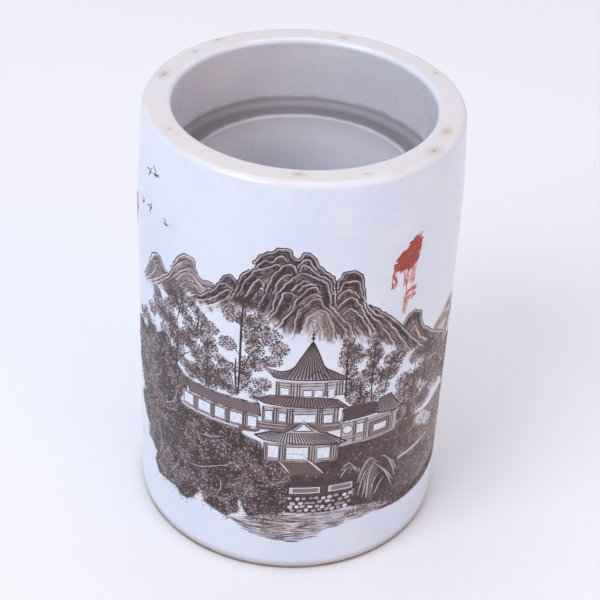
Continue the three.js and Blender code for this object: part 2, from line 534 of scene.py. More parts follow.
@dataclass(frozen=True)
class GlazedPorcelain:
    """A clear feldspathic glaze, dipped and fired over white porcelain.

    The eye gets a deep wet gloss, a slight orange peel that breaks highlights, clouded whiteness
    where the glaze lay thicker, a few iron specks, and what is painted or stained on it, painted
    shade in the mouth among it, which each piece carries in its attribute "ink".
    """

    name: str
    thin: str
    thick: str
    speck: str = "#8a6a55"
    roughness: float = 0.11
    cloud_mm: float = 26.0
    peel_mm: float = 1.6
    speck_mm: float = 2.6
    speck_share: float = 0.74
    peel_depth_mm: float = 0.012

    def build(self) -> Material:
        """Makes the material.

        Returns:
            The glaze, which reads object coordinates and the attribute "ink".
        """
        material, tree, place = new_material(self.name)
        cloudiness = spread(tree, noise(tree, place, self.cloud_mm, 3), 0.35, 0.65, (0, 1))
        body = blend(tree, cloudiness, opaque(self.thin), opaque(self.thick))
        mottle = spread(tree, noise(tree, place, 1.1, 3), 0.3, 0.7, (0.98, 1.02))
        speck_value = noise(tree, place, self.speck_mm, 1)
        specks = spread(tree, speck_value, self.speck_share, self.speck_share + 0.035, (0, 0.6))
        spotted = blend(tree, specks, body, opaque(self.speck))
        grey = add_node(tree, "CombineColor", None, Red=mottle, Green=mottle, Blue=mottle).outputs["Color"]
        mottled = blend(tree, 1.0, spotted, grey, "MULTIPLY")
        ink = add_node(tree, "Attribute", {"attribute_name": "ink"})
        painted = blend(tree, ink.outputs["Alpha"], mottled, ink.outputs["Color"])
        gloss = spread(tree, noise(tree, place, 4.0, 3), 0.3, 0.7,
                       (self.roughness * 0.75, self.roughness * 1.45))
        peel = noise(tree, place, self.peel_mm, 2)
        bump = add_node(tree, "Bump", None, Height=peel, Strength=0.6, Distance=self.peel_depth_mm * MM)
        surface(tree, Base_Color=painted, Roughness=gloss, IOR=1.52, Normal=bump.outputs["Normal"])
        return material


@dataclass(frozen=True)
class FiredEnamel:
    """Overglaze enamel: pigment in a soft flux, brushed on and fired low.

    The eye gets a thin film a little duller than the glaze, with the pigment pooled and starved
    along each stroke. Its colour is in the piece's attribute "ink".
    """

    name: str
    roughness: float = 0.34
    grain_mm: float = 0.7

    def build(self) -> Material:
        """Makes the material, which reads object coordinates and the attribute "ink".

        Returns:
            The new material.
        """
        material, tree, place = new_material(self.name)
        ink = add_node(tree, "Attribute", {"attribute_name": "ink"})
        pooled = spread(tree, noise(tree, place, self.grain_mm, 3), 0.3, 0.7, (0.86, 1.16))
        grey = add_node(tree, "CombineColor", None, Red=pooled, Green=pooled, Blue=pooled).outputs["Color"]
        colour = blend(tree, 1.0, ink.outputs["Color"], grey, "MULTIPLY")
        dullness = spread(tree, noise(tree, place, 2.2, 2), 0.3, 0.7,
                          (self.roughness * 0.8, self.roughness * 1.3))
        surface(tree, Base_Color=colour, Roughness=dullness, IOR=1.5)
        return material


@dataclass(frozen=True)
class FiredClay:
    """Bare porcelain clay, thrown and fired, or wiped at the foot.

    The eye gets a dry chalky surface with fine grog, a few dark grains and turning marks. A rim
    that was scorched in the kiln is browner, which the piece carries in its attribute "ink".
    """

    name: str
    light: str
    dark: str
    roughness: float = 0.86

    def build(self, stained: bool) -> Material:
        """Makes the material, which reads object coordinates and, if stained, "ink".

        Args:
            stained: Whether the piece carries the attribute.

        Returns:
            The new material.
        """
        material, tree, place = new_material(self.name)
        grog = noise(tree, place, 0.6, 4)
        body = blend(tree, spread(tree, noise(tree, place, 7.0, 3), 0.35, 0.65, (0, 1)), opaque(self.light),
                     opaque(self.dark))
        grains = spread(tree, grog, 0.62, 0.7, (0, 0.5))
        grained = blend(tree, grains, body, opaque("#5e4632"))
        colour = grained
        if stained:
            ink = add_node(tree, "Attribute", {"attribute_name": "ink"})
            colour = blend(tree, ink.outputs["Alpha"], grained, ink.outputs["Color"])
        bump = add_node(tree, "Bump", None, Height=grog, Strength=0.7, Distance=0.05 * MM)
        surface(tree, Base_Color=colour, Roughness=self.roughness, Normal=bump.outputs["Normal"])
        return material


# ---- Ink -------------------------------------------------------------------------------------


class Seed(IntEnum):
    """Seeds of the random draws, one for each thing that is strewn."""

    FIBRES = 5
    TREES = 12
    LEAVES = 21
    STONES = 33
    WATER = 44
    LARGE_BIRD = 71
    SMALL_BIRD = 73


class Pigment(Enum):
    """Enamels of the palette, each a ramp from its thinnest wash to its fullest stroke."""

    SEPIA = ((0.0, "#d3d1dc"), (0.25, "#a99da6"), (0.5, "#7b666b"), (0.75, "#50393c"), (1.0, "#261215"))
    TAN = ((0.0, "#d6cfd2"), (0.25, "#b8a59c"), (0.5, "#917768"), (0.75, "#695046"), (1.0, "#3a2721"))
    IRON_RED = ((0.0, "#e3c9c6"), (0.25, "#cb9284"), (0.5, "#b25a3c"), (0.75, "#a53914"), (1.0, "#82270b"))
    BARE = ((0.0, "#d6dcea"), (0.3, "#a99da6"), (0.5, "#7b666b"), (1.0, "#261215"))

    def colour(self, tone: float | Array) -> Array:
        """Linear colours of a tone from 0, thin, to 1, full."""
        return ramp(tone, self.value)


def sepia(tone: float | Array, warmth: Array) -> Array:
    """Sepia that turns tan with warmth, as where the kiln fired it browner."""
    share = np.clip(warmth, 0, 1)[..., None]
    return Pigment.SEPIA.colour(tone) * (1 - share) + Pigment.TAN.colour(tone) * share


def warmth_at(s: Array, z: Array) -> Array:
    """How tan the sepia has fired at a place: most round the right side, else in clouds."""
    return smooth(26, 60, s) * 0.9 + 0.35 * smooth(0.45, 0.75, clouds(s, z, 9, 41))


def sepia_at(tone: float | Array, places: Array) -> Array:
    """Sepia of a tone at places (s, z), as warm as it fired there."""
    return sepia(tone, warmth_at(places[..., 0], places[..., 1]))


class InkSheet:
    """Strokes and dots of one enamel, gathered as arrays and made one mesh.

    A stroke is a closed ribbon with a three-sided section: two edges and a raised crest. A dot is
    a low closed mound on a ring of corners.
    """

    def __init__(self, sizes: PotSizes, edge: float, crest: float) -> None:
        """Keeps the lifts of the edges and crests above the glaze, in millimetres.

        Args:
            sizes: The pot's sizes.
            edge: Lift of the edges.
            crest: Lift of the crests.
        """
        self.sizes, self.edge, self.crest = sizes, edge, crest
        self.points: list[Array] = []
        self.faces: list[Array] = []
        self.colours: list[Array] = []
        self.count = 0

    def _keep(self, points: Array, faces: Array, colours: Array) -> None:
        """Adds shapes that all have the same corners: points and colours by shape, faces of one.

        Args:
            points: Corners, as shapes by corners by 3.
            faces: Corner numbers of one shape's faces.
            colours: Linear colours, as shapes by corners by 3.
        """
        shapes, corners_each = points.shape[:2]
        start = self.count + np.arange(shapes)[:, None, None] * corners_each
        self.points.append(points.reshape(-1, 3))
        self.faces.append((faces[None] + start).reshape(-1, 3))
        self.colours.append(colours.reshape(-1, 3))
        self.count += shapes * corners_each

    def strokes(self, paths: Array, widths: Array, colours: Array) -> None:
        """Adds ribbons.

        Each station has a left edge, a crest and a right edge. The edges lie half a width to
        each side of the path, square to its direction.

        Args:
            paths: Middle lines, as strokes by stations by (s, z).
            widths: Full widths, as strokes by stations.
            colours: Linear colours, as strokes by stations by 3.
        """
        along = np.gradient(paths, axis=1)
        along /= np.linalg.norm(along, axis=-1, keepdims=True) + 1e-9
        aside = np.stack([-along[..., 1], along[..., 0]], axis=-1) * np.maximum(widths, 0.02)[..., None] / 2
        flat = np.stack([paths + aside, paths, paths - aside], axis=2)
        lifts = np.array([self.edge, self.crest, self.edge])
        points = self.sizes.on_wall(flat[..., 0], flat[..., 1], lifts)
        strokes, stations = paths.shape[:2]
        ring = np.arange(3)
        here = (np.arange(stations - 1) * 3)[:, None]
        a, b = here + ring, here + (ring + 1) % 3
        c, d = b + 3, a + 3
        sides = np.concatenate([np.stack([a, b, c], -1).reshape(-1, 3),
                                np.stack([a, c, d], -1).reshape(-1, 3)])
        last = (stations - 1) * 3
        faces = np.concatenate([sides, [[0, 2, 1], [last, last + 1, last + 2]]])
        shades = np.repeat(colours[:, :, None, :], 3, axis=2)
        self._keep(points.reshape(strokes, -1, 3), faces, shades.reshape(strokes, -1, 3))

    def line(self, points: Points, width: float, colour: Array, taper: float = 0.35) -> None:
        """Adds one brush line through points, thinner at its ends.

        Args:
            points: Points that the line passes.
            width: Full width at its middle.
            colour: Linear colour.
            taper: Width left at the ends, as a share.
        """
        rough = float(np.hypot(*np.diff(np.asarray(points, float), axis=0).T).sum())
        count = max(4, int(rough / STATION_MM) + 2)
        path = curve(points, count)[None]
        swell = taper + (1 - taper) * np.sin(np.linspace(0, np.pi, count)) ** 0.6
        self.strokes(path, (width * swell)[None], np.broadcast_to(colour, (1, count, 3)))

    def straight(self, ends: Array, width: float, colours: Array, stations: int = 6) -> None:
        """Adds straight ruled lines, each from one end to the other.

        Args:
            ends: Lines by 2 ends by (s, z).
            width: Full width.
            colours: Linear colour of each line, lines by 3.
            stations: Stations along each line, so that it bends with the wall.
        """
        ends = np.asarray(ends, float)
        share = np.linspace(0, 1, stations)[None, :, None]
        paths = ends[:, :1] * (1 - share) + ends[:, 1:] * share
        colours = np.broadcast_to(colours, (len(ends), 3))[:, None]
        self.strokes(paths, np.full(paths.shape[:2], width), np.repeat(colours, stations, axis=1))

    def dots(self, centres: Array, radii: Array, turns: Array, colours: Array, sides: int = 6) -> None:
        """Adds low mounds: a ring of corners on an ellipse and a crest in its middle.

        Args:
            centres: Dots by (s, z).
            radii: Dots by (long, short) half axes.
            turns: Direction of the long axis from +s, in radians.
            colours: Linear colours, dots by 3.
            sides: Corners in the ring.
        """
        angle = np.linspace(0, 2 * np.pi, sides, endpoint=False)
        u, v = radii[:, :1] * np.cos(angle), radii[:, 1:] * np.sin(angle)
        cosine, sine = np.cos(turns)[:, None], np.sin(turns)[:, None]
        s = centres[:, :1] + u * cosine - v * sine
        z = centres[:, 1:] + u * sine + v * cosine
        ring = self.sizes.on_wall(s, z, self.edge)
        crest = self.sizes.on_wall(centres[:, :1], centres[:, 1:], self.crest)
        points = np.concatenate([ring, crest], axis=1)
        around = np.arange(sides)
        cone = np.stack([around, (around + 1) % sides, np.full(sides, sides)], axis=-1)
        under = np.stack([np.zeros(sides - 2, int), around[2:], around[1:-1]], axis=-1)
        shades = np.repeat(colours[:, None], sides + 1, axis=1)
        self._keep(points, np.concatenate([cone, under]), shades)

    def leaves(self, centres: Array, length: float, width: float, turns: Array, colours: Array) -> None:
        """Adds leaf strokes: four-cornered mounds whose sizes vary by a third with their place.

        Args:
            centres: Middles of the leaves.
            length: Mean length.
            width: Mean width.
            turns: Direction of each.
            colours: Linear colours.
        """
        vary = 0.75 + 0.5 * (np.sin(centres[:, 0] * 12.9 + centres[:, 1] * 7.3) * 0.5 + 0.5)
        radii = np.stack([vary * length / 2, vary * width / 2], axis=-1)
        self.dots(centres, radii, turns, colours, sides=4)

    def build(self, name: str, material: Material, slot: str) -> Piece:
        """Makes the piece of all strokes so far, each one's faces outwards.

        Args:
            name: The name to give it.
            material: Its finish.
            slot: The record's material slot; not used.

        Returns:
            The new object.
        """
        points, faces = np.concatenate(self.points), np.concatenate(self.faces)
        colours = np.concatenate(self.colours)
        return make_piece(name, points, faces, material, covered(colours, np.ones(len(colours))))


# ---- The washes under the lines --------------------------------------------------------------

FRONT_CELL = 0.42  # width of the wash's cells on the painted front
BACK_CELL = 1.0
WASH_ROWS = 236  # corners from the film's low edge to its high one
SHARP_END = 62.0  # s past which the picture has only soft washes


@dataclass
class Wash:
    """The film of thin enamel under the lines, kept as tone and warmth on a net over the wall.

    The net's corners are z = low(s) + t (high(s) - low(s)), with t from 0 to 1. Shapes are laid
    over each other like gouache: a later one covers an earlier one.
    """

    sizes: PotSizes
    outline: Sequence[tuple[float, float, float]]
    s: Array = field(init=False)
    z: Array = field(init=False)
    tone: Array = field(init=False)
    owner: Array = field(init=False)

    def __post_init__(self) -> None:
        """Lays out the net between the outline's low and high edges."""
        at, low, high = np.array(self.outline).T
        columns = np.concatenate([np.arange(at[0], SHARP_END, FRONT_CELL),
                                  np.arange(SHARP_END, at[-1], BACK_CELL)])
        share = np.linspace(0, 1, WASH_ROWS)
        bottom, top = np.interp(columns, at, low)[:, None], np.interp(columns, at, high)[:, None]
        self.s = np.repeat(columns[:, None], WASH_ROWS, axis=1)
        self.z = bottom + (top - bottom) * share
        self.tone = np.zeros(self.s.shape)
        self.owner = np.zeros(self.s.shape, int)

    def lay(self, outline: Points, tone: float | Array, mottle: float = 0.0, cell: float = 2.5,
            feather: float = 0.0) -> None:
        """Covers an outline with a tone.

        Args:
            outline: Corners of the shape.
            tone: Tone, or a tone for every corner of the net.
            mottle: How far clouds change the tone.
            cell: Size of the clouds.
            feather: Width over which the edge fades outwards, in millimetres.
        """
        cover = inside(outline, self.s, self.z).astype(float)
        if feather:
            ragged = feather * (0.5 + clouds(self.s, self.z, feather * 1.5, 7))
            outside = distance(closed(outline), self.s, self.z)
            cover = np.maximum(cover, 1 - smooth(0, ragged, outside))
        value = tone + mottle * (clouds(self.s, self.z, cell, 3) - 0.5) * 2
        self.tone = self.tone * (1 - cover) + np.clip(value, 0, 1) * cover

    def deepen(self, outline: Points, amount: float, feather: float) -> None:
        """Adds tone in an outline, fading outwards over feather millimetres.

        Args:
            outline: Corners of the shape.
            amount: Tone to add.
            feather: Width over which it fades.
        """
        outside = distance(closed(outline), self.s, self.z)
        outside[inside(outline, self.s, self.z)] = 0
        grain = 0.7 + 0.6 * clouds(self.s, self.z, 1.6, 11)
        self.tone = np.clip(self.tone + amount * (1 - smooth(0, feather, outside)) * grain, 0, 1)

    def look_up(self, field_of: Array, points: Array) -> Array:
        """Value of a field of the net at the corner nearest to each point.

        Args:
            field_of: One value for each corner of the net.
            points: Places, with a last axis of (s, z).

        Returns:
            The values found.
        """
        column = np.clip(np.searchsorted(self.s[:, 0], points[..., 0]), 0, len(self.s) - 1)
        low, high = self.z[column, 0], self.z[column, -1]
        row = np.clip(np.rint((points[..., 1] - low) / (high - low) * (WASH_ROWS - 1)).astype(int), 0,
                      WASH_ROWS - 1)
        return field_of[column, row]

    def build(self, material: Material) -> Piece:
        """Makes the film: the net on the wall, a rim sunk in the glaze and a hidden back.

        Args:
            material: Its finish.

        Returns:
            The new object.
        """
        lift, sunk = 0.006, -0.15
        thinnest, full = 0.25, 0.34
        fade_left, fade_right = 3.5, 9
        columns, rows = self.s.shape
        corner = np.arange(columns * rows).reshape(columns, rows)
        quads = np.stack([corner[:-1, :-1], corner[1:, :-1], corner[1:, 1:], corner[:-1, 1:]],
                         axis=-1).reshape(-1, 4)
        front = self.sizes.on_wall(self.s, self.z, lift).reshape(-1, 3)
        ends = self.sizes.on_wall(self.s[:, [0, -1]], self.z[:, [0, -1]], sunk)
        back = columns * rows + np.arange(columns * 2).reshape(columns, 2)
        under, over = back[:, 0], back[:, 1]
        strips = [
            np.stack([under[:-1], under[1:], corner[1:, 0], corner[:-1, 0]], axis=-1),
            np.stack([corner[:-1, -1], corner[1:, -1], over[1:], over[:-1]], axis=-1),
            np.stack([over[:-1], over[1:], under[1:], under[:-1]], axis=-1),
        ]
        faces = np.concatenate([quads, *strips]).tolist()
        faces.append([under[0], *corner[0].tolist(), over[0]])
        faces.append([over[-1], *corner[-1, ::-1].tolist(), under[-1]])
        tone = self.tone.ravel()
        colour = sepia(np.maximum(tone, thinnest), warmth_at(self.s, self.z).ravel())
        fade = smooth(0, fade_right, self.s[-1, 0] - self.s) * smooth(0, fade_left, self.s - self.s[0, 0])
        cover = smooth(0.0, full, tone) * fade.ravel()
        colours = np.concatenate([covered(colour, cover), np.zeros((columns * 2, 4))])
        points = np.concatenate([front, ends.reshape(-1, 3)])
        return make_piece("landscape_wash", points, faces, material, colours)


# ---- The picture: mountains ------------------------------------------------------------------

MIST = ((-60, 80), (-50, 83), (-42, 85), (-36, 89), (-29, 89.5), (-23, 89), (-17, 91), (-10, 91.5),
        (-5, 88.5), (0, 85.5), (8, 84), (16, 83), (22, 82.5), (27, 78), (31, 73.5), (36, 71.5), (42, 69),
        (50, 64), (62, 58), (80, 48), (100, 40))

# Each fold of rock, from the back to the front: the line over its shoulder, then how dark it is.
FOLDS: Sequence[tuple[Points, float]] = (
    (((44, 71), (47, 74.5), (52, 76.5), (57, 77.8), (62, 76), (70, 71), (78, 68), (86, 66), (93, 60),
      (98, 54)), 0.5),
    (((52, 66), (57, 71), (63, 72), (70, 66), (78, 60), (86, 52)), 0.42),
    (((-57, 79.5), (-52, 84.5), (-49, 89), (-46.8, 93.4), (-44, 95), (-41.8, 95), (-40.3, 92.8), (-38, 92.3),
      (-36, 90)), 0.72),
    (((-55, 80), (-50, 84.5), (-46.5, 88), (-44.5, 91), (-42.8, 92), (-41, 90.5)), 0.6),
    (((31, 82), (33, 84.6), (34.8, 85.6), (36.4, 85.4), (38.6, 83.8), (39, 81.3), (40.2, 78.8), (42, 77),
      (45, 74), (49, 71.5), (54, 68)), 0.85),
    (((33, 77), (34.6, 79.5), (36.3, 80.6), (37.4, 78.6), (40, 75), (44, 71.5)), 0.62),
    (((-51, 82.5), (-44, 87.5), (-40, 91), (-37.6, 93.6), (-36, 96.6), (-34.3, 99.5), (-32, 101.3),
      (-30, 101.5), (-28.3, 100.9), (-27.8, 99), (-27, 97), (-25, 96.2), (-22.5, 96.6), (-20, 96)), 0.54),
    (((-48, 83.5), (-42, 88), (-38, 92), (-35.5, 95.8), (-33, 98.6), (-30.7, 100), (-29, 99.3), (-28.6, 97)),
     0.5),
    (((-44, 85), (-38.5, 89.6), (-35.3, 93.8), (-32, 97), (-29.8, 98.5), (-28.3, 97.7), (-27.6, 95.5)), 0.48),
    (((-41, 86.5), (-36, 91), (-33, 94.8), (-30.4, 96.7), (-28, 96.2), (-26, 94.8), (-24, 94.2), (-22, 93)),
     0.48),
    (((-36.5, 88.5), (-33.5, 91.3), (-31, 93.4), (-28.5, 93.9), (-26.2, 92.8), (-24.4, 91)), 0.6),
    (((-25, 92.5), (-22.4, 95), (-20.7, 97.4), (-19.4, 99.6), (-17.9, 100.6), (-16.5, 100.4), (-15.3, 99.6),
      (-14.6, 97)), 0.9),
    (((-29.5, 90), (-25, 92.4), (-22, 95.2), (-20, 97.4), (-18.1, 98.2), (-16.6, 97.2), (-15.8, 95.5)), 0.85),
    (((-27, 89.5), (-23.3, 91.6), (-20.6, 93.9), (-18.6, 96.2), (-17.1, 96.5), (-16, 95), (-15.4, 93)), 0.85),
    (((-24, 89), (-21, 91.2), (-19, 92.9), (-17.5, 94.6), (-16.2, 94.3), (-15.2, 92.4)), 0.8),
    (((10.4, 96), (10.6, 101.5), (11.5, 102.8), (12.3, 104.2), (14, 104.5), (16, 104.2), (17.2, 102.8),
      (17.7, 101.5), (18.2, 99), (18.6, 95.5), (20, 93.5), (22.3, 91.2), (25, 89), (28, 86.3), (31, 83),
      (34, 79), (37, 75.5), (40, 72.3), (44, 68.5), (48, 64.5)), 0.95),
    (((19, 94.3), (22, 90.2), (25.5, 87), (28.5, 83.4), (31.5, 79), (34, 75), (36, 72)), 0.75),
    (((18.4, 94), (21, 89.5), (24, 86), (27, 81.5), (29.5, 77), (31, 73)), 0.75),
    (((11.2, 99), (12.4, 101.3), (14.5, 101.7), (16.7, 101), (17.5, 99), (18, 96)), 0.95),
    (((11, 96.5), (12.4, 98.6), (14, 99), (15.9, 98.1), (17.2, 96)), 0.9),
    (((11, 93.5), (13, 96.2), (14.8, 96.7), (16.4, 95.5), (18, 93), (20, 89), (22.5, 85)), 0.85),
    (((12, 90.5), (14.3, 93.1), (16, 92.6), (18, 90), (20, 86.6), (21.5, 83.5)), 0.8),
    (((-17, 94), (-15.6, 97.5), (-14.8, 100.5), (-13, 103), (-11.1, 105), (-10.8, 106.4), (-10, 108),
      (-8.5, 109.3), (-6.5, 110), (-5, 111.3), (-3.5, 111.6), (-2, 111.3), (-1.2, 110.2), (-0.3, 109),
      (0.8, 109), (1.4, 110.2), (2.2, 110.6), (3.8, 110), (5.2, 108.6), (6, 106.8), (8, 105), (9.7, 103.4),
      (10.4, 101), (10.7, 97.5), (10.9, 94)), 0.97),
    (((-10.6, 104.5), (-9.6, 106.6), (-8, 107.8), (-6.6, 107.4), (-5.2, 108.9), (-3.6, 109.4), (-2, 108.4)),
     0.97),
    (((0.6, 106.8), (1.4, 108.6), (2.6, 109), (4, 108), (5, 106.2), (6.4, 104)), 0.97),
    (((-15.4, 95), (-13.6, 99.5), (-12.2, 102), (-10.7, 104.2), (-8.2, 105.2), (-6.6, 106.3), (-5.3, 107.1),
      (-4.1, 106.6), (-3.4, 105)), 0.95),
    (((-13.4, 95), (-11.6, 98.6), (-10.5, 100.8), (-9.1, 101.8), (-8, 101), (-7.6, 98.5)), 0.9),
    (((-11.4, 94.5), (-10, 97), (-9, 98.9), (-8.1, 99), (-7.6, 97)), 0.85),
    (((0, 103), (0.9, 106.4), (1.9, 107.4), (3.2, 107), (4.3, 105.4), (6, 104.2), (8, 103.4), (9.4, 101.2),
      (9.9, 98), (10.2, 94)), 0.97),
    (((-9.8, 93), (-8.1, 97), (-7.3, 100.2), (-6, 103.2), (-4, 105.9), (-2.1, 107.3), (-0.6, 107),
      (0.4, 105.8), (1, 104)), 0.97),
    (((-5.7, 98), (-5, 101), (-3.7, 103.2), (-2.2, 104.4), (-0.8, 104.2)), 0.95),
    (((-6, 92.5), (-5.2, 97), (-3.6, 99.7), (-1.6, 102.4), (0.3, 104.4), (2, 105.3), (3.5, 104.6),
      (5.5, 103.3), (7.5, 102.4), (8.8, 100.4), (9.4, 97.5), (10, 94.8), (12, 91.5), (14.5, 88.5), (16.8, 85),
      (18, 82)), 0.92),
    (((-1, 99.5), (0.6, 101.6), (2, 102.6), (3.4, 102.4), (4.6, 101.4)), 0.9),
    (((0.6, 99.6), (2, 101.2), (3.6, 101.7), (5, 101), (6, 100)), 0.8),
    (((-7, 89.5), (-4.7, 93), (-4.2, 95.6), (-3.2, 98), (-1.8, 99.1), (-0.5, 98.4), (0.6, 98)), 0.9),
    (((-4.6, 87), (-2, 91.2), (-0.6, 94), (0.3, 97), (2, 99), (4, 100.4), (5.4, 100.4), (6.4, 99.2)), 0.9),
    (((1, 95), (2.6, 97), (4.2, 98.4), (5.8, 98.6), (7, 97.6)), 0.75),
    (((-0.6, 84.5), (0.2, 90), (1, 93), (3, 95.6), (5, 97), (6.6, 96.9), (7.6, 95)), 0.82),
    (((9, 95.4), (11, 92.8), (13, 90.4), (15, 87.6), (16.6, 84)), 0.75),
    (((7.4, 95), (10, 92.6), (12, 89.6), (14, 86.6), (15, 83)), 0.78),
    (((1.8, 86), (3, 90.6), (5, 92.9), (6.7, 93.7), (8.5, 92.5), (10, 90), (11, 87), (11.6, 83.5)), 0.5),
)


@dataclass
class Mountains:
    """Folds of rock, each with a pale shoulder, a dark hollow inside it and mist at its foot."""

    wash: Wash
    pale_band: float = 0.68
    hollow_depth: float = 2.9
    fold_height: float = 18.0
    line_width: float = 0.46
    fibres_each: int = 60
    bump_mm: float = 0.85

    def mist(self, s: Array, z: Array) -> Array:
        """1 on clear rock and 0 in the mist, across a ragged band at the mist's height."""
        level = np.interp(s, *np.array(MIST).T) + 3.0 * (clouds(s, z, 3.2, 23) - 0.5)
        return smooth(level - 2.6, level + 3.4, z + 5.0 * (clouds(s * 1.6, z * 0.8, 1.1, 27, 2) - 0.5))

    def shoulder(self, points: Points) -> Array:
        """A fold's shoulder line, with the small bumps of rock on it.

        Args:
            points: Points that the shoulder passes.

        Returns:
            Points of the line with its bumps.
        """
        line = curve(points, 10 + 8 * len(points))
        along = np.gradient(line, axis=0)
        inward = np.stack([along[:, 1], -along[:, 0]], axis=-1) / np.linalg.norm(along, axis=1, keepdims=True)
        bump = clouds(line[:, 0] * 1.1, line[:, 1] * 1.1, 1.3, 47, 2) - 0.5
        return line + self.bump_mm * bump[:, None] * inward

    def paint(self) -> None:
        """Lays the folds over each other, from the back to the front.

        The tone inside a fold falls from its shoulder as exp(-depth / hollow), past a pale band.
        """
        wash = self.wash
        clear = self.mist(wash.s, wash.z)
        for number, (points, dark) in enumerate(FOLDS, start=1):
            line = self.shoulder(points)
            floor = line[:, 1].min() - self.fold_height
            outline = np.concatenate([line, [[line[-1, 0], floor], [line[0, 0], floor]]])
            held = inside(outline, wash.s, wash.z)
            depth = np.full(wash.s.shape, 99.0)
            depth[held] = distance(line, wash.s[held], wash.z[held])
            past = np.maximum(depth - self.pale_band, 0)
            streaks = clouds(depth * 1.3, wash.s * 0.3 + 9 * number, 0.9, 29, 2) - 0.5
            hollow = dark * (0.32 + 0.78 * np.exp(-past / self.hollow_depth)) + 0.9 * streaks
            rim = 0.05 + 0.34 * clouds(wash.s, wash.z, 2.6, 37, 2)
            tone = rim + (hollow - rim) * smooth(0.3, 1.3, depth / self.pale_band)
            wash.tone = np.where(held, np.clip(tone, 0, 1) * clear, wash.tone)
            wash.owner = np.where(held, number, wash.owner)

    def draw(self, ink: InkSheet) -> None:
        """Draws each fold's shoulder line and the fibres that follow it inside, where they show.

        Args:
            ink: The sheet to draw on.
        """
        rng = np.random.default_rng(Seed.FIBRES)
        for number, (points, dark) in enumerate(FOLDS, start=1):
            line = self.shoulder(points)
            along = np.gradient(line, axis=0)
            along /= np.linalg.norm(along, axis=1, keepdims=True)
            inward = np.stack([along[:, 1], -along[:, 0]], axis=-1)
            seen = self.wash.look_up(self.wash.owner, line + 0.5 * inward) == number
            clear = self.mist(*line.T)
            width = self.line_width * (0.75 + 0.5 * clouds(line[:, 0], line[:, 1], 2.2, 31))
            width = np.where(seen & (clear > 0.12), width * smooth(0.05, 0.6, clear), 0)
            self._runs(ink, line - 0.08 * inward, width, dark)
            self._fibres(ink, line, inward, number, dark, rng)

    def _runs(self, ink: InkSheet, line: Array, width: Array, dark: float) -> None:
        """Draws the stretches of a line whose width isn't zero, each as its own ribbon.

        Args:
            ink: The sheet to draw on.
            line: Points of the line.
            width: Width at each point.
            dark: How dark the fold is.
        """
        shown = np.flatnonzero(np.diff(np.concatenate([[0], width > 0.03, [0]]).astype(int)))
        for start, end in shown.reshape(-1, 2):
            if end - start > 3:
                run, wide = line[None, start:end], width[None, start:end].copy()
                wide[:, [0, -1]] *= 0.3
                tone = np.full((1, end - start), 0.55 + 0.45 * dark)
                ink.strokes(run, wide, sepia_at(tone, run))

    def _fibres(self, ink: InkSheet, line: Array, inward: Array, number: int, dark: float,
                rng: np.random.Generator) -> None:
        """Draws short strokes along a fold, at random depths inside it.

        Args:
            ink: The sheet to draw on.
            line: Points of the line.
            inward: Direction into the fold at each point.
            number: The fold's number.
            dark: How dark the fold is.
            rng: Source of the random draws.
        """
        stations, count = 6, int(self.fibres_each * len(line) / 50)
        start = rng.uniform(0, len(line) - 1, count)
        reach = rng.uniform(4, 11, count)
        depth = self.pale_band + rng.exponential(1.5, count) + 0.15
        at = np.clip(start[:, None] + np.linspace(0, 1, stations) * reach[:, None], 0, len(line) - 1)
        fill = [np.interp(at, np.arange(len(line)), part) for part in (*line.T, *inward.T)]
        sink = depth[:, None] * (1 + 0.12 * np.linspace(0, 1, stations))
        paths = np.stack([fill[0] + sink * fill[2], fill[1] + sink * fill[3]], axis=-1)
        seen = np.all(self.wash.look_up(self.wash.owner, paths) == number, axis=1)
        clear = self.mist(paths[..., 0], paths[..., 1])
        keep = seen & (clear.min(axis=1) > 0.15)
        if keep.any():
            paths, clear = paths[keep], clear[keep]
            widths = (0.2 + 0.16 * rng.random((len(paths), 1))) * np.sin(np.linspace(0.25, np.pi - 0.25,
                                                                                     stations)) * clear
            tone = np.clip(dark * rng.choice([0.45, 0.95, 1.0, 1.1], (len(paths), 1)) * (0.7 + 0.3 * clear),
                           0, 1)
            ink.strokes(paths, widths, sepia_at(tone, paths))


# ---- The picture: what stands in front of the mountains ---------------------------------------


@dataclass
class Canvas:
    """The wash and the brushes that one part of the picture is painted with."""

    wash: Wash
    fine: InkSheet
    pale: InkSheet
    blocked: list[Array] = field(default_factory=list)

    def free(self, points: Array) -> Array:
        """Which points lie in none of the blocked outlines.

        Args:
            points: Places, with a last axis of (s, z).

        Returns:
            True for each free point.
        """
        result = np.ones(points.shape[:-1], bool)
        for outline in self.blocked:
            result &= ~inside(outline, points[..., 0], points[..., 1])
        return result

    def ink(self, points: Points, width: float, tone: float, taper: float = 0.35) -> None:
        """Draws one sepia line."""
        middle = np.mean(np.asarray(points, float), axis=0)
        self.fine.line(points, width, sepia_at(tone, middle), taper)

    def ruled(self, ends: Array, width: float, tone: float) -> None:
        """Draws straight sepia lines.

        Args:
            ends: Lines by 2 ends by (s, z).
            width: Full width.
            tone: Tone from 0, thin, to 1, full.
        """
        ends = np.asarray(ends, float)
        middle = ends.mean(axis=1)
        self.fine.straight(ends, width, sepia_at(np.full(len(ends), tone), middle))

    def framed(self, outline: Points, width: float, tone: float) -> None:
        """Draws straight sepia lines round an outline."""
        around = closed(outline)
        self.ruled(np.stack([around[:-1], around[1:]], axis=1), width, tone)

    def bare(self, ends: Sequence[Points], width: float, tone: float = 0.0,
             pigment: Pigment = Pigment.BARE) -> None:
        """Draws straight lines left pale, or nearly so."""
        self.pale.straight(ends, width, pigment.colour(tone))

    def light(self, points: Points, width: float, tone: float = 0.12) -> None:
        """Draws one line left pale, as where the enamel is scratched back to the glaze."""
        self.pale.line(points, width, Pigment.SEPIA.colour(tone), 0.4)


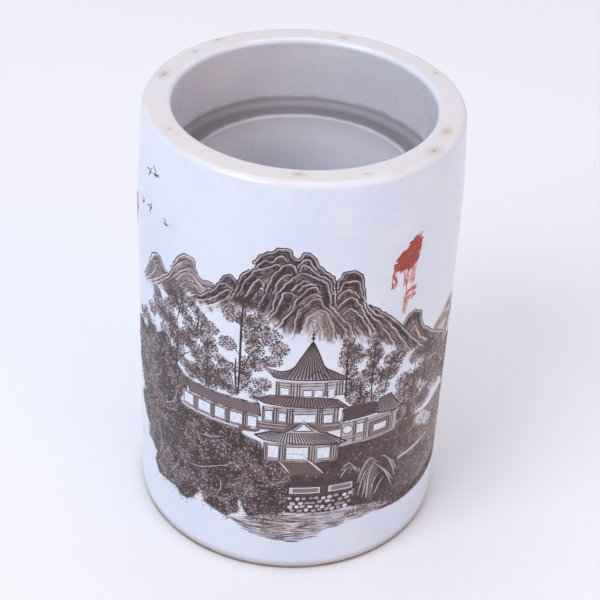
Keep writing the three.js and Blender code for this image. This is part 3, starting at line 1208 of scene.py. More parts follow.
def fan(top: Points, bottom: Points, count: int) -> Array:
    """Straight lines between two broken lines, evenly spaced along each, as lines by 2 ends."""
    upper, lower = spaced(top, count), spaced(bottom, count)
    return np.stack([upper, lower], axis=1)


def box_outline(left: float, right: float, low: float, high: float) -> Array:
    """Corners of an upright oblong."""
    return np.array([(left, low), (right, low), (right, high), (left, high)])


# Foliage: middle s and z, then half width and half height of each clump.
CLUMPS: Sequence[tuple[float, float, float, float]] = (
    (-12.5, 93, 2.8, 1.8), (-16.5, 89, 2.2, 2.2), (-9.5, 88, 2.2, 2.4), (-12.8, 88, 2, 2),
                                                       (-17.5, 79, 2.3, 1.8),
    (-11.5, 83, 2, 2), (-7, 84, 3.4, 2.4), (-3.2, 80, 2.2, 2.3), (-10, 79, 2.2, 2.6), (-5, 76, 2.2, 1.4),
    (-8.5, 74.5, 2, 1.8), (-17.5, 71, 2.5, 1.8), (-18.5, 67, 2.5, 2.4), (-12, 73, 2.2, 2.6),
                                                       (-12.5, 68, 2, 3),
    (-7.5, 68, 2, 2), (-19, 64.5, 2, 1.4), (-9, 64, 2, 1.6), (-15.8, 64, 1.6, 1.6), (-20, 73, 1.6, 1.2),
    (-35.5, 89, 3, 2.2), (-33.5, 85, 2.5, 2.4), (-30.5, 87.5, 2.2, 1.3), (-31, 82.5, 2, 1.5),
                                                       (-36.5, 85, 2, 2),
    (-38.5, 87, 2, 1.4), (-28, 86, 1.4, 1.2), (-26, 84, 1.8, 1.6), (-23, 82, 2.4, 1.6), (-24, 78, 2.6, 2),
    (-28.5, 79.5, 3, 2), (-22.5, 76, 1.8, 1.4), (-30, 76.5, 2.4, 1.8), (-43, 80, 2.8, 2.2), (-42, 77, 3, 1.6),
    (-39, 78, 2.6, 1.8), (-36.5, 77.5, 2, 2.5), (-44, 83, 2, 1.2), (-38, 82, 2, 1.4), (-35, 74, 2.5, 2.5),
    (-39, 73, 2.6, 2), (-31.5, 74.5, 2.5, 2), (-28, 73, 2.2, 1.8), (-34, 70, 2, 2.5), (-27, 70.5, 1.8, 1.2),
    (-24, 73, 1.4, 2), (-23.3, 69, 1.4, 3), (-26, 67, 2, 2), (-28.5, 66, 1.8, 1.6), (-29, 64, 2, 1.5),
    (-24.5, 64, 2, 2), (-21.5, 68, 1.6, 2), (-22, 64, 1.6, 2), (-32, 66.5, 1.6, 1.6), (-36, 66.5, 1.6, 2),
    (15, 82, 1.4, 1.2), (15.3, 79, 2, 2), (14.6, 76, 1.8, 2), (17.8, 79, 1.2, 1.5), (18, 76, 1.5, 1.5),
    (16, 72, 1.8, 2), (23, 80.5, 1.9, 1.4), (23, 77.5, 1.9, 1.9), (22.7, 74, 1.7, 2), (24.8, 75.5, 1, 1.4),
    (22.5, 71, 2, 1.8), (20.5, 77, 1, 1.2), (28.5, 73, 2, 1.4), (31.5, 72, 2.3, 1.4), (29, 69.5, 3.4, 2.2),
    (28.5, 67.3, 2.6, 1.6), (26.5, 63.5, 1.8, 2), (19.5, 68, 3, 3), (18, 63, 3, 3), (22, 61, 3, 2.6),
    (24.5, 67.5, 2, 1.8), (15.8, 67, 1.4, 2.4), (38.5, 69, 2.5, 2), (44, 69, 3.5, 2.5), (48, 66, 3, 2),
    (34.5, 62.5, 2.8, 2.5), (38, 60, 3, 3), (43, 62, 4, 4), (33, 58, 2, 1.8), (37, 56, 3, 2.5),
                                                       (40.5, 52, 3, 4),
    (47, 58, 4, 4), (52, 62, 3.4, 3), (53, 55, 4, 4), (59, 60, 3.5, 3), (60, 53, 4, 3.4), (45, 51, 3.4, 3),
    (38, 46, 2.6, 3), (66, 57, 4, 3), (71, 52, 4, 4), (76, 56, 3, 3), (81, 49, 4, 3), (64, 49, 4, 3.4),
    (-47, 75.5, 2.2, 1.8), (-51, 70.5, 2.6, 2), (-55, 68.5, 2.2, 1.6),
)

# Trunks and branches: width, then the line from the foot up.
BOUGHS: Sequence[tuple[float, Points]] = (
    (0.62, ((-14.3, 61.5), (-13.9, 70), (-13.8, 80), (-13.6, 88), (-13.2, 94))),
    (0.45, ((-14.6, 62.5), (-15.1, 70), (-15, 77))), (0.34, ((-14, 64), (-12, 66.5), (-10.8, 69))),
    (0.34, ((-13.9, 70), (-12.5, 73), (-11.5, 76), (-9.5, 79), (-8, 80.5), (-6.5, 83))),
    (0.28, ((-13.8, 76), (-15.5, 78), (-17, 79))), (0.3, ((-13.7, 84), (-11.8, 86.5), (-10, 88))),
    (0.26, ((-13.7, 86), (-15.2, 87.8), (-16.6, 89))), (0.24, ((-15, 70), (-16.4, 70.8), (-17.6, 71))),
    (0.4, ((-34.5, 79), (-33.5, 83), (-32.7, 86), (-32, 89.5))),
                                          (0.26, ((-33.4, 83), (-35, 85.4), (-35.6, 88))),
    (0.24, ((-33, 85), (-31.4, 86.6), (-30.4, 87.4))), (0.4,
                                                        ((-26.5, 85), (-26.8, 81), (-28, 78.5), (-30.5, 77))),
    (0.3, ((-27.5, 78.8), (-25.5, 76.5), (-23, 75.3))), (0.26, ((-27, 80.5), (-25, 82), (-23, 82.5))),
    (0.45, ((-35, 61), (-35, 65), (-34.3, 70), (-34.7, 77))),
                                          (0.3, ((-34.5, 64.5), (-32.5, 68), (-30.5, 70), (-28, 72.4))),
    (0.28, ((-34.4, 70), (-36.6, 72), (-39, 73))), (0.4, ((-23.9, 62), (-23.6, 68), (-23.5, 74))),
    (0.28, ((-23.3, 62.5), (-22, 66.5), (-19.5, 70))), (0.24, ((-23.8, 63.5), (-25.6, 66), (-28, 66.6))),
    (0.46, ((15, 58), (15.2, 68), (15, 76), (15.2, 82.5))), (0.3, ((15.1, 71), (16.6, 74.5), (18, 77))),
    (0.46, ((23.1, 57), (22.9, 66), (23, 74), (23, 81.5))), (0.28, ((22.9, 70), (24.2, 73.4), (24.9, 76))),
    (0.28, ((22.9, 66), (25.6, 68.6), (29, 70.4), (31.4, 72))), (0.36, ((19, 58), (19.6, 64), (19.2, 70))),
    (0.4, ((27, 59), (27.6, 64), (28.6, 69), (28.9, 73.6))), (0.34, ((38, 55), (38.4, 62), (38.6, 69))),
    (0.4, ((44, 57), (43.6, 64), (44.4, 70))), (0.34, ((53, 50), (52.6, 58), (52, 64))),
    (0.34, ((71, 44), (70.6, 50), (71.2, 55))), (0.3, ((77, 47), (76.4, 53), (76, 58))),
)


@dataclass
class Trees:
    """Stippled trees: clumps of dots on brush-drawn boughs."""

    canvas: Canvas
    dots_each_mm2: float = 10.5
    dot_radius: float = 0.28

    def paint(self) -> None:
        """Lays a faint wash under each clump."""
        for s, z, half_wide, half_high in CLUMPS:
            self.canvas.wash.deepen(
                [(s - half_wide * 0.8, z), (s, z - half_high * 0.8), (s + half_wide * 0.8, z),
                 (s, z + half_high * 0.8)],
                0.26 + 0.24 * float(smooth(30, 50, np.array(s))), 1.5,
            )

    def draw(self) -> None:
        """Draws the boughs and stipples the clumps, except where something stands in front."""
        for width, points in BOUGHS:
            line = curve(points, 30)
            line = line[self.canvas.free(line)]
            if len(line) > 4:
                self.canvas.ink(line[:: max(1, len(line) // 6)], width * 1.35, 1.0, 0.5)
        rng = np.random.default_rng(Seed.TREES)
        clumps = np.array(CLUMPS)
        counts = np.ceil(np.pi * clumps[:, 2] * clumps[:, 3] * self.dots_each_mm2).astype(int)
        of = np.repeat(np.arange(len(clumps)), counts)
        reach, angle = np.sqrt(rng.random(len(of))) * 1.3, rng.uniform(0, 2 * np.pi, len(of))
        centres = np.stack([clumps[of, 0] + clumps[of, 2] * reach * np.cos(angle),
                            clumps[of, 1] + clumps[of, 3] * reach * np.sin(angle)], axis=-1)
        centres = centres[self.canvas.free(centres)]
        long = self.dot_radius * rng.uniform(0.7, 1.35, len(centres))
        radii = np.stack([long, long * rng.uniform(0.6, 0.95, len(centres))], axis=-1)
        tone = rng.uniform(0.78, 1.0, len(centres))
        colours = sepia_at(tone, centres)
        self.canvas.fine.dots(centres, radii, rng.uniform(0, np.pi, len(centres)), colours, sides=5)


THICKET = ((-60, 63), (-56, 65.5), (-51, 65), (-49.5, 69), (-46, 70), (-44, 68.5), (-41, 71), (-38, 70.5),
           (-36, 66), (-33.5, 62.5), (-30, 61), (-31, 57), (-33.5, 53), (-32.5, 50.9), (-24, 50.7),
           (-13.5, 50.5), (-12.5, 49), (-7.5, 47.6), (-6.4, 43), (-3, 41.6), (1, 41), (0.6, 38), (2, 33.4),
           (0.8, 29), (0, 24), (-2, 20), (-6, 18), (-8, 20.5), (-9.5, 19), (-11.5, 22), (-12, 25),
           (-13.8, 25), (-13.5, 20), (-15.5, 19), (-17, 17.5), (-19, 18), (-22, 19), (-24, 19.5), (-25, 24),
           (-27, 21.5), (-29, 18.5), (-31, 17), (-33.5, 17), (-34.5, 19), (-39, 18.3), (-44, 17.8), (-46, 21),
           (-44.5, 25), (-49, 27), (-51, 27), (-50, 31), (-54, 34), (-57, 38), (-54, 41), (-57, 46),
           (-60, 50), (-62, 56))
HILLSIDE = ((8.5, 41), (14, 47.5), (20, 46.5), (31, 46), (36, 46.5), (37, 40), (36, 33), (35, 26), (34, 22),
            (30, 20.5), (20, 22), (20, 33.5), (2, 33.2), (1, 38), (2, 41.5))
BANK = ((33, 47), (41, 46), (48, 45), (55, 46), (62, 45), (70, 42), (80, 38), (90, 34), (97, 30), (97, 26),
        (90, 22), (80, 19.5), (70, 18), (62, 16), (50, 15.6), (40, 16.2), (34, 16.6), (28, 17.6), (24, 18.4),
        (20, 18), (17, 20), (20, 22.5), (28, 21), (33.5, 23))


@dataclass
class Thicket:
    """The dark wood at the left and the overgrown banks: leaf strokes over mottled washes."""

    canvas: Canvas
    leaf_mm: float = 1.0
    leaf_width: float = 0.36
    edge_leaves: int = 1300

    def paint(self) -> None:
        """Lays the masses."""
        wash = self.canvas.wash
        clump = clouds(wash.s, wash.z, 3.4, 51, 2)
        wash.lay(THICKET, 0.68 + 0.26 * smooth(0.32, 0.62, clump), 0.34, 0.7, 0.7)
        wash.lay(HILLSIDE, 0.88 - 0.004 * (wash.s - 8), 0.22, 1.3, 0.4)
        wash.lay(((32, 46), (32.8, 52.6), (35.2, 54.6), (38, 52.4), (39, 46)), 0.6, 0.5, 1.1, 0.8)
        wash.lay(BANK, 0.68 + 0.22 * smooth(30, 16, wash.z), 0.4, 1.3, 0.8)

    def draw(self) -> None:
        """Strews the leaves: dark ones everywhere, pale ones where the clumps catch light."""
        rng = np.random.default_rng(Seed.LEAVES)
        self._strew(rng, THICKET, 7.0, 0.45, (0.85, 1.0), False)
        self._strew(rng, THICKET, 2.3, 0.5, (0.12, 0.5), True)
        self._strew(rng, HILLSIDE, 3.4, 0.55, (0.8, 1.0), False)
        self._strew(rng, HILLSIDE, 0.4, 0.5, (0.25, 0.5), True)
        self._strew(rng, BANK, 3.6, 0.5, (0.7, 1.0), False)
        self._strew(rng, BANK, 0.7, 0.5, (0.15, 0.45), True)
        edge = spaced(closed(THICKET), self.edge_leaves)
        clumped = 0.5 + 1.5 * clouds(edge[:, 0], edge[:, 1], 3.0, 57, 2)[:, None]
        edge = edge + rng.normal(0, 0.75, edge.shape) * clumped
        edge = edge[self.canvas.free(edge) & ((edge[:, 1] < 47) | (edge[:, 0] < -32))]
        self._leaves(rng, edge, (0.75, 1.0), self.canvas.fine)
        branches = (((-33, 31), (-27, 31.5), (-23.5, 33), (-20, 35), (-17, 36.5), (-15, 38.5)),
                    ((-12, 26), (-10.5, 29), (-9, 31)), ((-44, 24), (-42.5, 30), (-43.5, 36)),
                    ((-38, 22), (-35.5, 26), (-33.6, 30)), ((-26, 44), (-22, 45), (-18, 46.6)),
                    ((-40, 47), (-36, 50), (-34.6, 55)), ((-20, 24), (-18.6, 28), (-19.4, 31)),
                    ((-47, 52), (-43, 55), (-41.4, 60)))
        for points in branches:
            self.canvas.light(points, 0.34, 0.22)

    def _strew(self, rng: np.random.Generator, region: Points, each_mm2: float, spread_of: float,
               tones: Span, light: bool) -> None:
        """Scatters leaves in a region, thinned where a cloud of noise is low.

        Args:
            rng: Source of the random draws.
            region: Outline of the region.
            each_mm2: Leaves tried in each square millimetre.
            spread_of: Share kept where the clouds are thinnest.
            tones: Lowest and highest tone.
            light: Whether the leaves are pale.
        """
        outline = np.asarray(region, float)
        low, high = outline.min(axis=0), outline.max(axis=0)
        count = int(np.prod(high - low) * each_mm2)
        places = rng.uniform(low, high, (count, 2))
        keep = inside(outline, *places.T) & self.canvas.free(places)
        thick = clouds(places[:, 0], places[:, 1], 3.4, 51, 2)
        keep &= rng.random(count) < (0.3 + 0.7 * smooth(0.7, 0.3, thick) if light
                                     else spread_of + (1 - spread_of) * thick)
        sheet, width = (self.canvas.pale, 0.7) if light else (self.canvas.fine, 1.0)
        self._leaves(rng, places[keep], tones, sheet, width)

    def _leaves(self, rng: np.random.Generator, places: Array, tones: Span, sheet: InkSheet,
                width: float = 1.0) -> None:
        """Draws leaves whose directions swirl from clump to clump.

        Args:
            rng: Source of the random draws.
            places: Where the leaves lie.
            tones: Lowest and highest tone.
            sheet: The sheet to draw on.
            width: Share of the leaves' full width.
        """
        turn = 2.2 * np.pi * clouds(places[:, 0], places[:, 1], 6.5, 61, 2) + rng.normal(0, 0.55, len(places))
        colours = sepia_at(rng.uniform(*tones, len(places)), places)
        sheet.leaves(places, self.leaf_mm, self.leaf_width * width, turn, colours)


@dataclass
class Hall:
    """What every painted building is drawn with: roofs, storeys, openings."""

    canvas: Canvas

    def roof(self, outline: Points, ridge: Points, eaves: Points, ribs: int, tone: float = 0.12,
             rib: float = 0.4) -> None:
        """A tiled roof: a mid wash, ribs from ridge to eaves and a dark edge.

        Args:
            outline: The roof's outline.
            ridge: Line where the ribs start.
            eaves: Line where they end.
            ribs: How many ribs.
            tone: Tone of the wash between them.
            rib: Width of a rib.
        """
        self.canvas.wash.lay(outline, tone)
        self.ribs((ridge, eaves), ribs, rib)
        self.canvas.framed(outline, 0.46, 1.0)

    def ribs(self, rows: Sequence[Points], count: int, width: float) -> None:
        """Ribs of a roof, each a smooth line through the same share of every row.

        Args:
            rows: Broken lines from the ridge to the eaves.
            count: How many to make.
            width: Widest that a rib gets.
        """
        marks = np.stack([spaced(row, count) for row in rows], axis=1)
        steps = 8
        paths = np.stack([curve(mark, steps) for mark in marks])
        tone = np.full((count, steps), 1.0)
        colours = sepia_at(tone, paths)
        apart = np.linalg.norm(np.diff(paths, axis=0, append=2 * paths[-1:] - paths[-2:-1]), axis=-1)
        self.canvas.fine.strokes(paths, np.minimum(width, 0.6 * apart + 0.03), colours)

    def block(self, outline: Points, tone: float) -> None:
        """Fills an outline with one tone."""
        self.canvas.wash.lay(outline, tone, 0.05, 1.2)

    def bands(self, left: float, right: float, levels: Sequence[float], width: float = 0.46,
              tone: float = 1.0) -> None:
        """Level beams."""
        self.canvas.ruled([((left, level), (right, level)) for level in levels], width, tone)

    def posts(self, low: float, high: float, places: Sequence[float], width: float = 0.46,
              tone: float = 1.0) -> None:
        """Upright posts."""
        self.canvas.ruled([((place, low), (place, high)) for place in places], width, tone)

    def opening(self, left: float, right: float, low: float, high: float, tone: float = 0.0,
                frame_width: float = 0.46) -> None:
        """A window or door left pale, with a dark frame.

        Args:
            left: Its left edge.
            right: Its right edge.
            low: Its lower edge.
            high: Its upper edge.
            tone: Tone from 0, thin, to 1, full.
            frame_width: Width of the frame's lines.
        """
        corner = box_outline(left, right, low, high)
        self.canvas.wash.lay(corner, tone)
        rows = np.arange(low + 0.2, high, 0.4)
        if tone < 0.1:
            self.canvas.bare([((left, row), (right, row)) for row in rows], 0.44, tone)
        self.canvas.framed(corner, frame_width, 0.95)


@dataclass
class Pavilion(Hall):
    """Three storeys under a cone, an apron roof and a gabled roof, with steps down to the shore."""

    def paint(self) -> None:
        """Paints from the top down."""
        self._cone()
        self._upper()
        self._middle()
        self._lower()
        self._steps()

    def _cone(self) -> None:
        """The finial and the pointed roof with its flared skirt."""
        cone = ((5.4, 83.4), (6.9, 80), (8, 77), (9.1, 74.4), (11.2, 73), (13.4, 71.6), (16.4, 69.4),
                (6, 70.6), (-3.8, 70.8), (-7.2, 73.7), (-5, 72.7), (-2, 73), (0.6, 74.2), (2.1, 77),
                (3.6, 79.8))
        self.canvas.wash.lay(cone, 0.42)
        self.ribs((((5.2, 83), (5.7, 83)), ((3.7, 79.8), (6.8, 80)), ((2.3, 77), (7.8, 77)),
                   ((0.8, 74.3), (8.9, 74.4)),
                   ((-1.2, 70.6), (11, 70.3))), 13, 0.46)
        self.ribs((((0.2, 74), (-3, 73), (-6.6, 73.3)), ((-1.8, 70.7), (-3.6, 70.8), (-4.6, 71.2))), 8, 0.36)
        self.ribs((((9.4, 74.1), (12.6, 72.1), (16, 69.7)), ((11.6, 70.3), (13.6, 70), (15.6, 69.6))), 8,
                  0.36)
        self.canvas.ink(((5.4, 82.6), (5.4, 84.4), (5.4, 87.2)), 0.5, 1.0, 0.5)
        self.canvas.fine.dots(np.array([[5.4, 84.2], [5.4, 85.5]]), np.array([[0.75, 0.5], [0.5, 0.42]]),
                              np.zeros(2),
                              Pigment.SEPIA.colour(np.array([1.0, 1.0])), 8)
        for side in (((5.2, 83), (3.6, 79.8), (2.1, 77), (0.6, 74.3), (-2.6, 73), (-7.2, 73.8)),
                     ((5.6, 83), (6.9, 80), (8, 77), (9.1, 74.4), (12.2, 72.4), (16.4, 69.2))):
            self.canvas.ink(side, 0.55, 1.0, 0.6)
        self.canvas.ink(((4.4, 70.9), (7, 73.4), (9.8, 70.7)), 0.4, 1.0, 0.7)
        self.canvas.ink(((-4.8, 71.1), (-3, 70.6), (6, 70.3), (12, 70), (16.3, 69.3)), 0.6, 1.0, 0.8)

    def _upper(self) -> None:
        """The top storey, a lantern of panels."""
        self.block(box_outline(-3.8, 14.4, 64.4, 69.8), 0.26)
        self.bands(-3.8, 14.4, (69.2, 68.3, 64.8), 0.4)
        self.posts(64.6, 69.2, (-3.6, -3, 0.3, 1, 1.9, 2.6, 9.4, 9.9, 12.6, 13.4, 14.2), 0.4)
        self.opening(-2.6, -0.3, 65.2, 67.6)
        self.opening(3.6, 5.9, 64.9, 67)
        self.opening(6.5, 8.8, 64.6, 66.9)
        self.opening(10.3, 12.1, 63.9, 66.5)

    def _middle(self) -> None:
        """The apron roof and the storey under it, with its balcony."""
        apron = ((-5, 64.8), (2, 64.4), (9, 64.1), (13, 63.1), (16.2, 60), (10, 60.6), (2, 61.2),
                 (-6.5, 61.7), (-10.2, 63.5), (-8, 63.3))
        self.roof(apron, ((-6, 64.2), (2, 64.3), (9, 64), (13, 63)),
                  ((-8.6, 62.8), (-6, 61.8), (2, 61.2), (10, 60.6), (15.8, 60.2)), 28, 0.5, 0.36)
        self.block(box_outline(-7.4, 13.8, 55.2, 61), 0.28)
        self.bands(-7.2, 13.8, (60.5, 59.7), 0.42)
        self.posts(55.4, 60.4, (-7, -4, -3.3, -0.4, 0.3, 1, 7.8, 8.4, 9, 12.5, 13.4), 0.44)
        self.opening(-6.5, -4.4, 56, 59.3)
        self.opening(-2.7, -0.7, 56, 59)
        self.opening(1.4, 7.3, 55.8, 58.6)
        self.opening(9.5, 12, 55.3, 58.2)
        self.block(box_outline(-8.5, 14.4, 52.2, 55.4), 0.56)
        self.bands(-8.5, 14.2, (55.2, 54.3, 53.2), 0.3, 1.0)
        rails = (((-8, 54.75), (-0.5, 54.75)), ((9, 54.4), (14, 54.2)), ((-8, 53.6), (-1, 53.6)))
        self.canvas.bare(rails, 0.26, 0.18, Pigment.SEPIA)

    def _lower(self) -> None:
        """The gabled roof and the ground storey."""
        gabled = ((-5.5, 51.9), (-0.6, 52.3), (4.2, 56.4), (8.8, 52.3), (10.8, 51.7), (13, 50.3),
                  (16.6, 47.8), (14.5, 47.1), (6, 47.9), (-6.5, 48.8), (-9.2, 50.2))
        self.roof(gabled, ((-5.5, 51.7), (2, 51.9), (10.6, 51.6)),
                  ((-8.8, 50), (-6.5, 48.8), (6, 48), (14.4, 47.2), (16.2, 47.8)), 30, 0.26, 0.42)
        self.canvas.wash.lay(((4.2, 55.2), (1.9, 53), (6.5, 52.9)), 0.0)
        gable = (((2.4, 53.2), (6.1, 53.1)), ((2.9, 53.6), (5.6, 53.6)), ((3.3, 54), (5.2, 54)),
                 ((3.7, 54.4), (4.8, 54.4)))
        self.canvas.bare(gable, 0.44)
        for side in (((4.2, 56.6), (2, 54.2), (-0.8, 52.2)), ((4.2, 56.6), (6.4, 54.2), (9.2, 52.1)),
                     ((4.2, 55.4), (1.6, 52.8)), ((4.2, 55.4), (6.8, 52.7)), ((1.4, 52.8), (7, 52.7))):
            self.canvas.ink(side, 0.42, 1.0, 0.7)
        self.bands(-6, 11, (51.9,), 0.4, 1.0)
        self.block(box_outline(-6.6, 14, 41.6, 48), 0.3)
        self.bands(-6.6, 14, (47.9, 41.9), 0.34, 1.0)
        self.posts(41.9, 47.9, (-6.4, -5.8, -1.9, -1.2, -0.6, 6.2, 6.9, 7.6, 12.3, 13, 13.7), 0.36, 1.0)
        self.opening(-5.3, -2.3, 42.8, 47.2)
        self.opening(-0.2, 5.8, 42.6, 46.9)
        self.opening(8.3, 11.9, 42.7, 46.6)
        self.bands(0, 5.8, (44.6,), 0.3, 1.0)
        self.canvas.ink(((3.8, 44.6), (5.4, 43.2), (7, 41.5)), 0.34, 1.0, 0.8)

    def _steps(self) -> None:
        """The flight of steps, its two rails and the dark ground beside it."""
        self.block(((-2.4, 41.6), (7.6, 41.6), (10.8, 36.8), (1, 36.6)), 0.64)
        self.canvas.ruled([((-1.6 + 0.75 * step, 41.2 - 0.8 * step), (6.6 + 0.8 * step, 41 - 0.8 * step))
                           for step in range(6)], 0.26, 0.9)
        self.canvas.light(((-2, 41.5), (-0.6, 39.8), (0.8, 37.8)), 0.5, 0.08)
        self.canvas.light(((5, 43.3), (7.8, 40.2), (10.4, 37.2)), 0.55, 0.08)
        self.canvas.ink(((-2.6, 41.2), (-1.2, 39.5), (0.3, 37.3)), 0.3, 1.0)
        self.canvas.ink(((5.8, 43.4), (8.4, 40.6), (11, 37.6)), 0.3, 1.0)


@dataclass
class Galleries(Hall):
    """The long gallery at the left, the low ones at the right, the railing and the terrace."""

    def paint(self) -> None:
        """Paints each building, then the walls by the water."""
        self._left()
        self._right()
        self._railing()
        self._embankment()

    def _left(self) -> None:
        """The roofed walk on columns."""
        roof = ((-30.6, 61.6), (-8.2, 61.3), (-7.6, 57.2), (-29.6, 57.4))
        self.roof(roof, ((-30.4, 61.4), (-8.2, 61.2)), ((-29.4, 57.6), (-7.8, 57.4)), 44, 0.46, 0.2)
        self.bands(-30.6, -8.2, (61.5, 60.9), 0.34, 1.0)
        self.bands(-29.8, -7.6, (57.4, 56.9), 0.4, 1.0)
        self.block(box_outline(-32.2, -8, 52.4, 57), 0.3)
        for left, right in ((-31.5, -28.2), (-26.5, -22.4), (-21, -17.9), (-16.3, -12.7), (-11.2, -8.7)):
            self.opening(left, right, 52.8, 56.5)
        self.posts(51.8, 57, (-27.7, -27, -21.9, -21.4, -17.3, -16.8, -12.4, -11.8), 0.4, 1.0)
        self.canvas.ruled([((place, 57), (place - 0.9, 55.8)) for place in (-27, -21.6, -17, -12)], 0.22, 0.9)
        self.canvas.ruled([((place, 57), (place + 0.9, 55.8)) for place in (-27, -21.6, -17, -12)], 0.22, 0.9)
        self.block(box_outline(-32.2, -13.4, 50.7, 52.4), 0.3)
        self.canvas.bare([((-32, 51.6), (-13.7, 51.6))], 0.5, 0.08)
        self.bands(-32.2, -13.5, (52.3, 51.1, 50.7), 0.34, 0.95)
        self.block(((-13.5, 52.3), (-7.4, 52.3), (-8.2, 51.2), (-13.5, 50.4)), 0.66)

    def _right(self) -> None:
        """Two low roofs, the lattice windows under them and their base."""
        self.block(((14.6, 59.4), (17, 60.2), (25, 59.6), (26, 55.4), (15, 54.8)), 0.66)
        self.canvas.ruled(fan(((15, 59.6), (25, 59.4)), ((14.4, 55.2), (26, 55)), 26), 0.26, 1.0)
        self.bands(14.5, 26, (59.9, 55.1), 0.34, 1.0)
        small = ((26.2, 60.1), (29.8, 60.3), (31.4, 57.2), (34.6, 54), (32, 53.4), (26, 54.8), (24, 56))
        self.roof(small, ((26.4, 60), (29.7, 60.2)), ((24.6, 55.8), (26, 54.8), (32, 53.5), (34.2, 54.1)), 15,
                  0.34, 0.34)
        self.block(box_outline(14.6, 32.4, 46.2, 54.6), 0.28)
        corner = np.linspace(0, 2 * np.pi, 8, endpoint=False) + np.pi / 8
        window = np.stack([16.6 + 1.5 * np.cos(corner), 51.8 + 1.5 * np.sin(corner)], axis=-1)
        self.canvas.wash.lay(window, 0.0)
        self.canvas.pale.dots(np.array([[16.6, 51.8]]), np.array([[1.42, 1.42]]), np.zeros(1),
                              Pigment.BARE.colour(np.zeros(1)), 8)
        self.canvas.framed(window, 0.3, 1.0)
        self.opening(19.2, 21.4, 49.8, 53)
        self.opening(23.3, 29.9, 47.3, 52.2, 0.5)
        self.opening(24.7, 28.9, 48.6, 51, 0.0)
        self.posts(47, 54.4, (14.8, 18.4, 18.9, 21.8, 22.4, 30.6, 31.2), 0.34, 1.0)
        self.bands(14.8, 22.4, (54.2, 49.2, 48.5), 0.3, 1.0)
        self.bands(21, 32.6, (53.2, 46.6, 45.8), 0.34, 1.0)
        self.canvas.bare([((15, 48.9), (21.4, 48.9)), ((21.4, 46.2), (32, 46.2))], 0.3, 0.1, Pigment.SEPIA)

    def _railing(self) -> None:
        """The stone railing by the water: pale panels between dark bands."""
        self.block(box_outline(0.8, 20, 32.3, 34.4), 0.9)
        self.block(box_outline(0.6, 20, 28.8, 32.6), 0.7)
        for left, right in ((1, 10), (12, 19.6)):
            self.opening(left, right, 29.7, 32.3, 0.5, 0.34)
            rim = [((left + 0.3, level), (right - 0.3, level)) for level in (30.05, 31.95)]
            rim += [((side, 29.9), (side, 32.1)) for side in (left + 0.4, left + 0.9, right - 0.4)]
            self.canvas.bare(rim, 0.4, 0.14)
        self.posts(29.4, 32.8, (0.8, 10.6, 11.4, 19.9), 0.4, 1.0)
        self.bands(0.6, 20, (32.9, 29.4), 0.34, 1.0)

    def _embankment(self) -> None:
        """Rounded stones in rows, pale on dark, and a terrace of brick at the right."""
        self.block(((0.5, 29), (19.6, 29), (20, 22.6), (12, 22.2), (0.4, 22.4)), 0.95)
        rng = np.random.default_rng(Seed.STONES)
        stones = []
        for row, level in enumerate((28, 26.3, 24.7, 23.3)):
            start = 1.4 + 0.9 * (row % 2)
            stones += [(place + rng.uniform(-0.35, 0.35), level + rng.uniform(-0.3, 0.3))
                       for place in np.arange(start, 19.4, 1.95)]
        stones = np.array(stones)
        size = np.stack([rng.uniform(0.62, 0.95, len(stones)), rng.uniform(0.5, 0.74, len(stones))], axis=-1)
        self.canvas.pale.dots(stones, size, rng.uniform(-0.4, 0.4, len(stones)),
                              Pigment.BARE.colour(rng.uniform(0.05, 0.46, len(stones))), 7)
        self.block(((34.8, 33.2), (50, 33.8), (50, 34.7), (35, 34.3)), 0.22)
        self.bands(35, 50, (34.7, 33), 0.3, 0.95)
        brick = [((s, z), (s + 1.6, z)) for z in np.arange(24.5, 32.4, 0.95)
                 for s in np.arange(36 + 0.8 * (int(z) % 2), 48, 2.2)]
        self.canvas.ruled(brick, 0.22, 0.85)
        self.canvas.wash.lay(((41.5, 44.6), (45, 45.4), (48, 43), (51.5, 40.2), (50, 37), (47, 39.6),
                              (43, 41.4)), 0.06, 0.05, 2, 0.6)


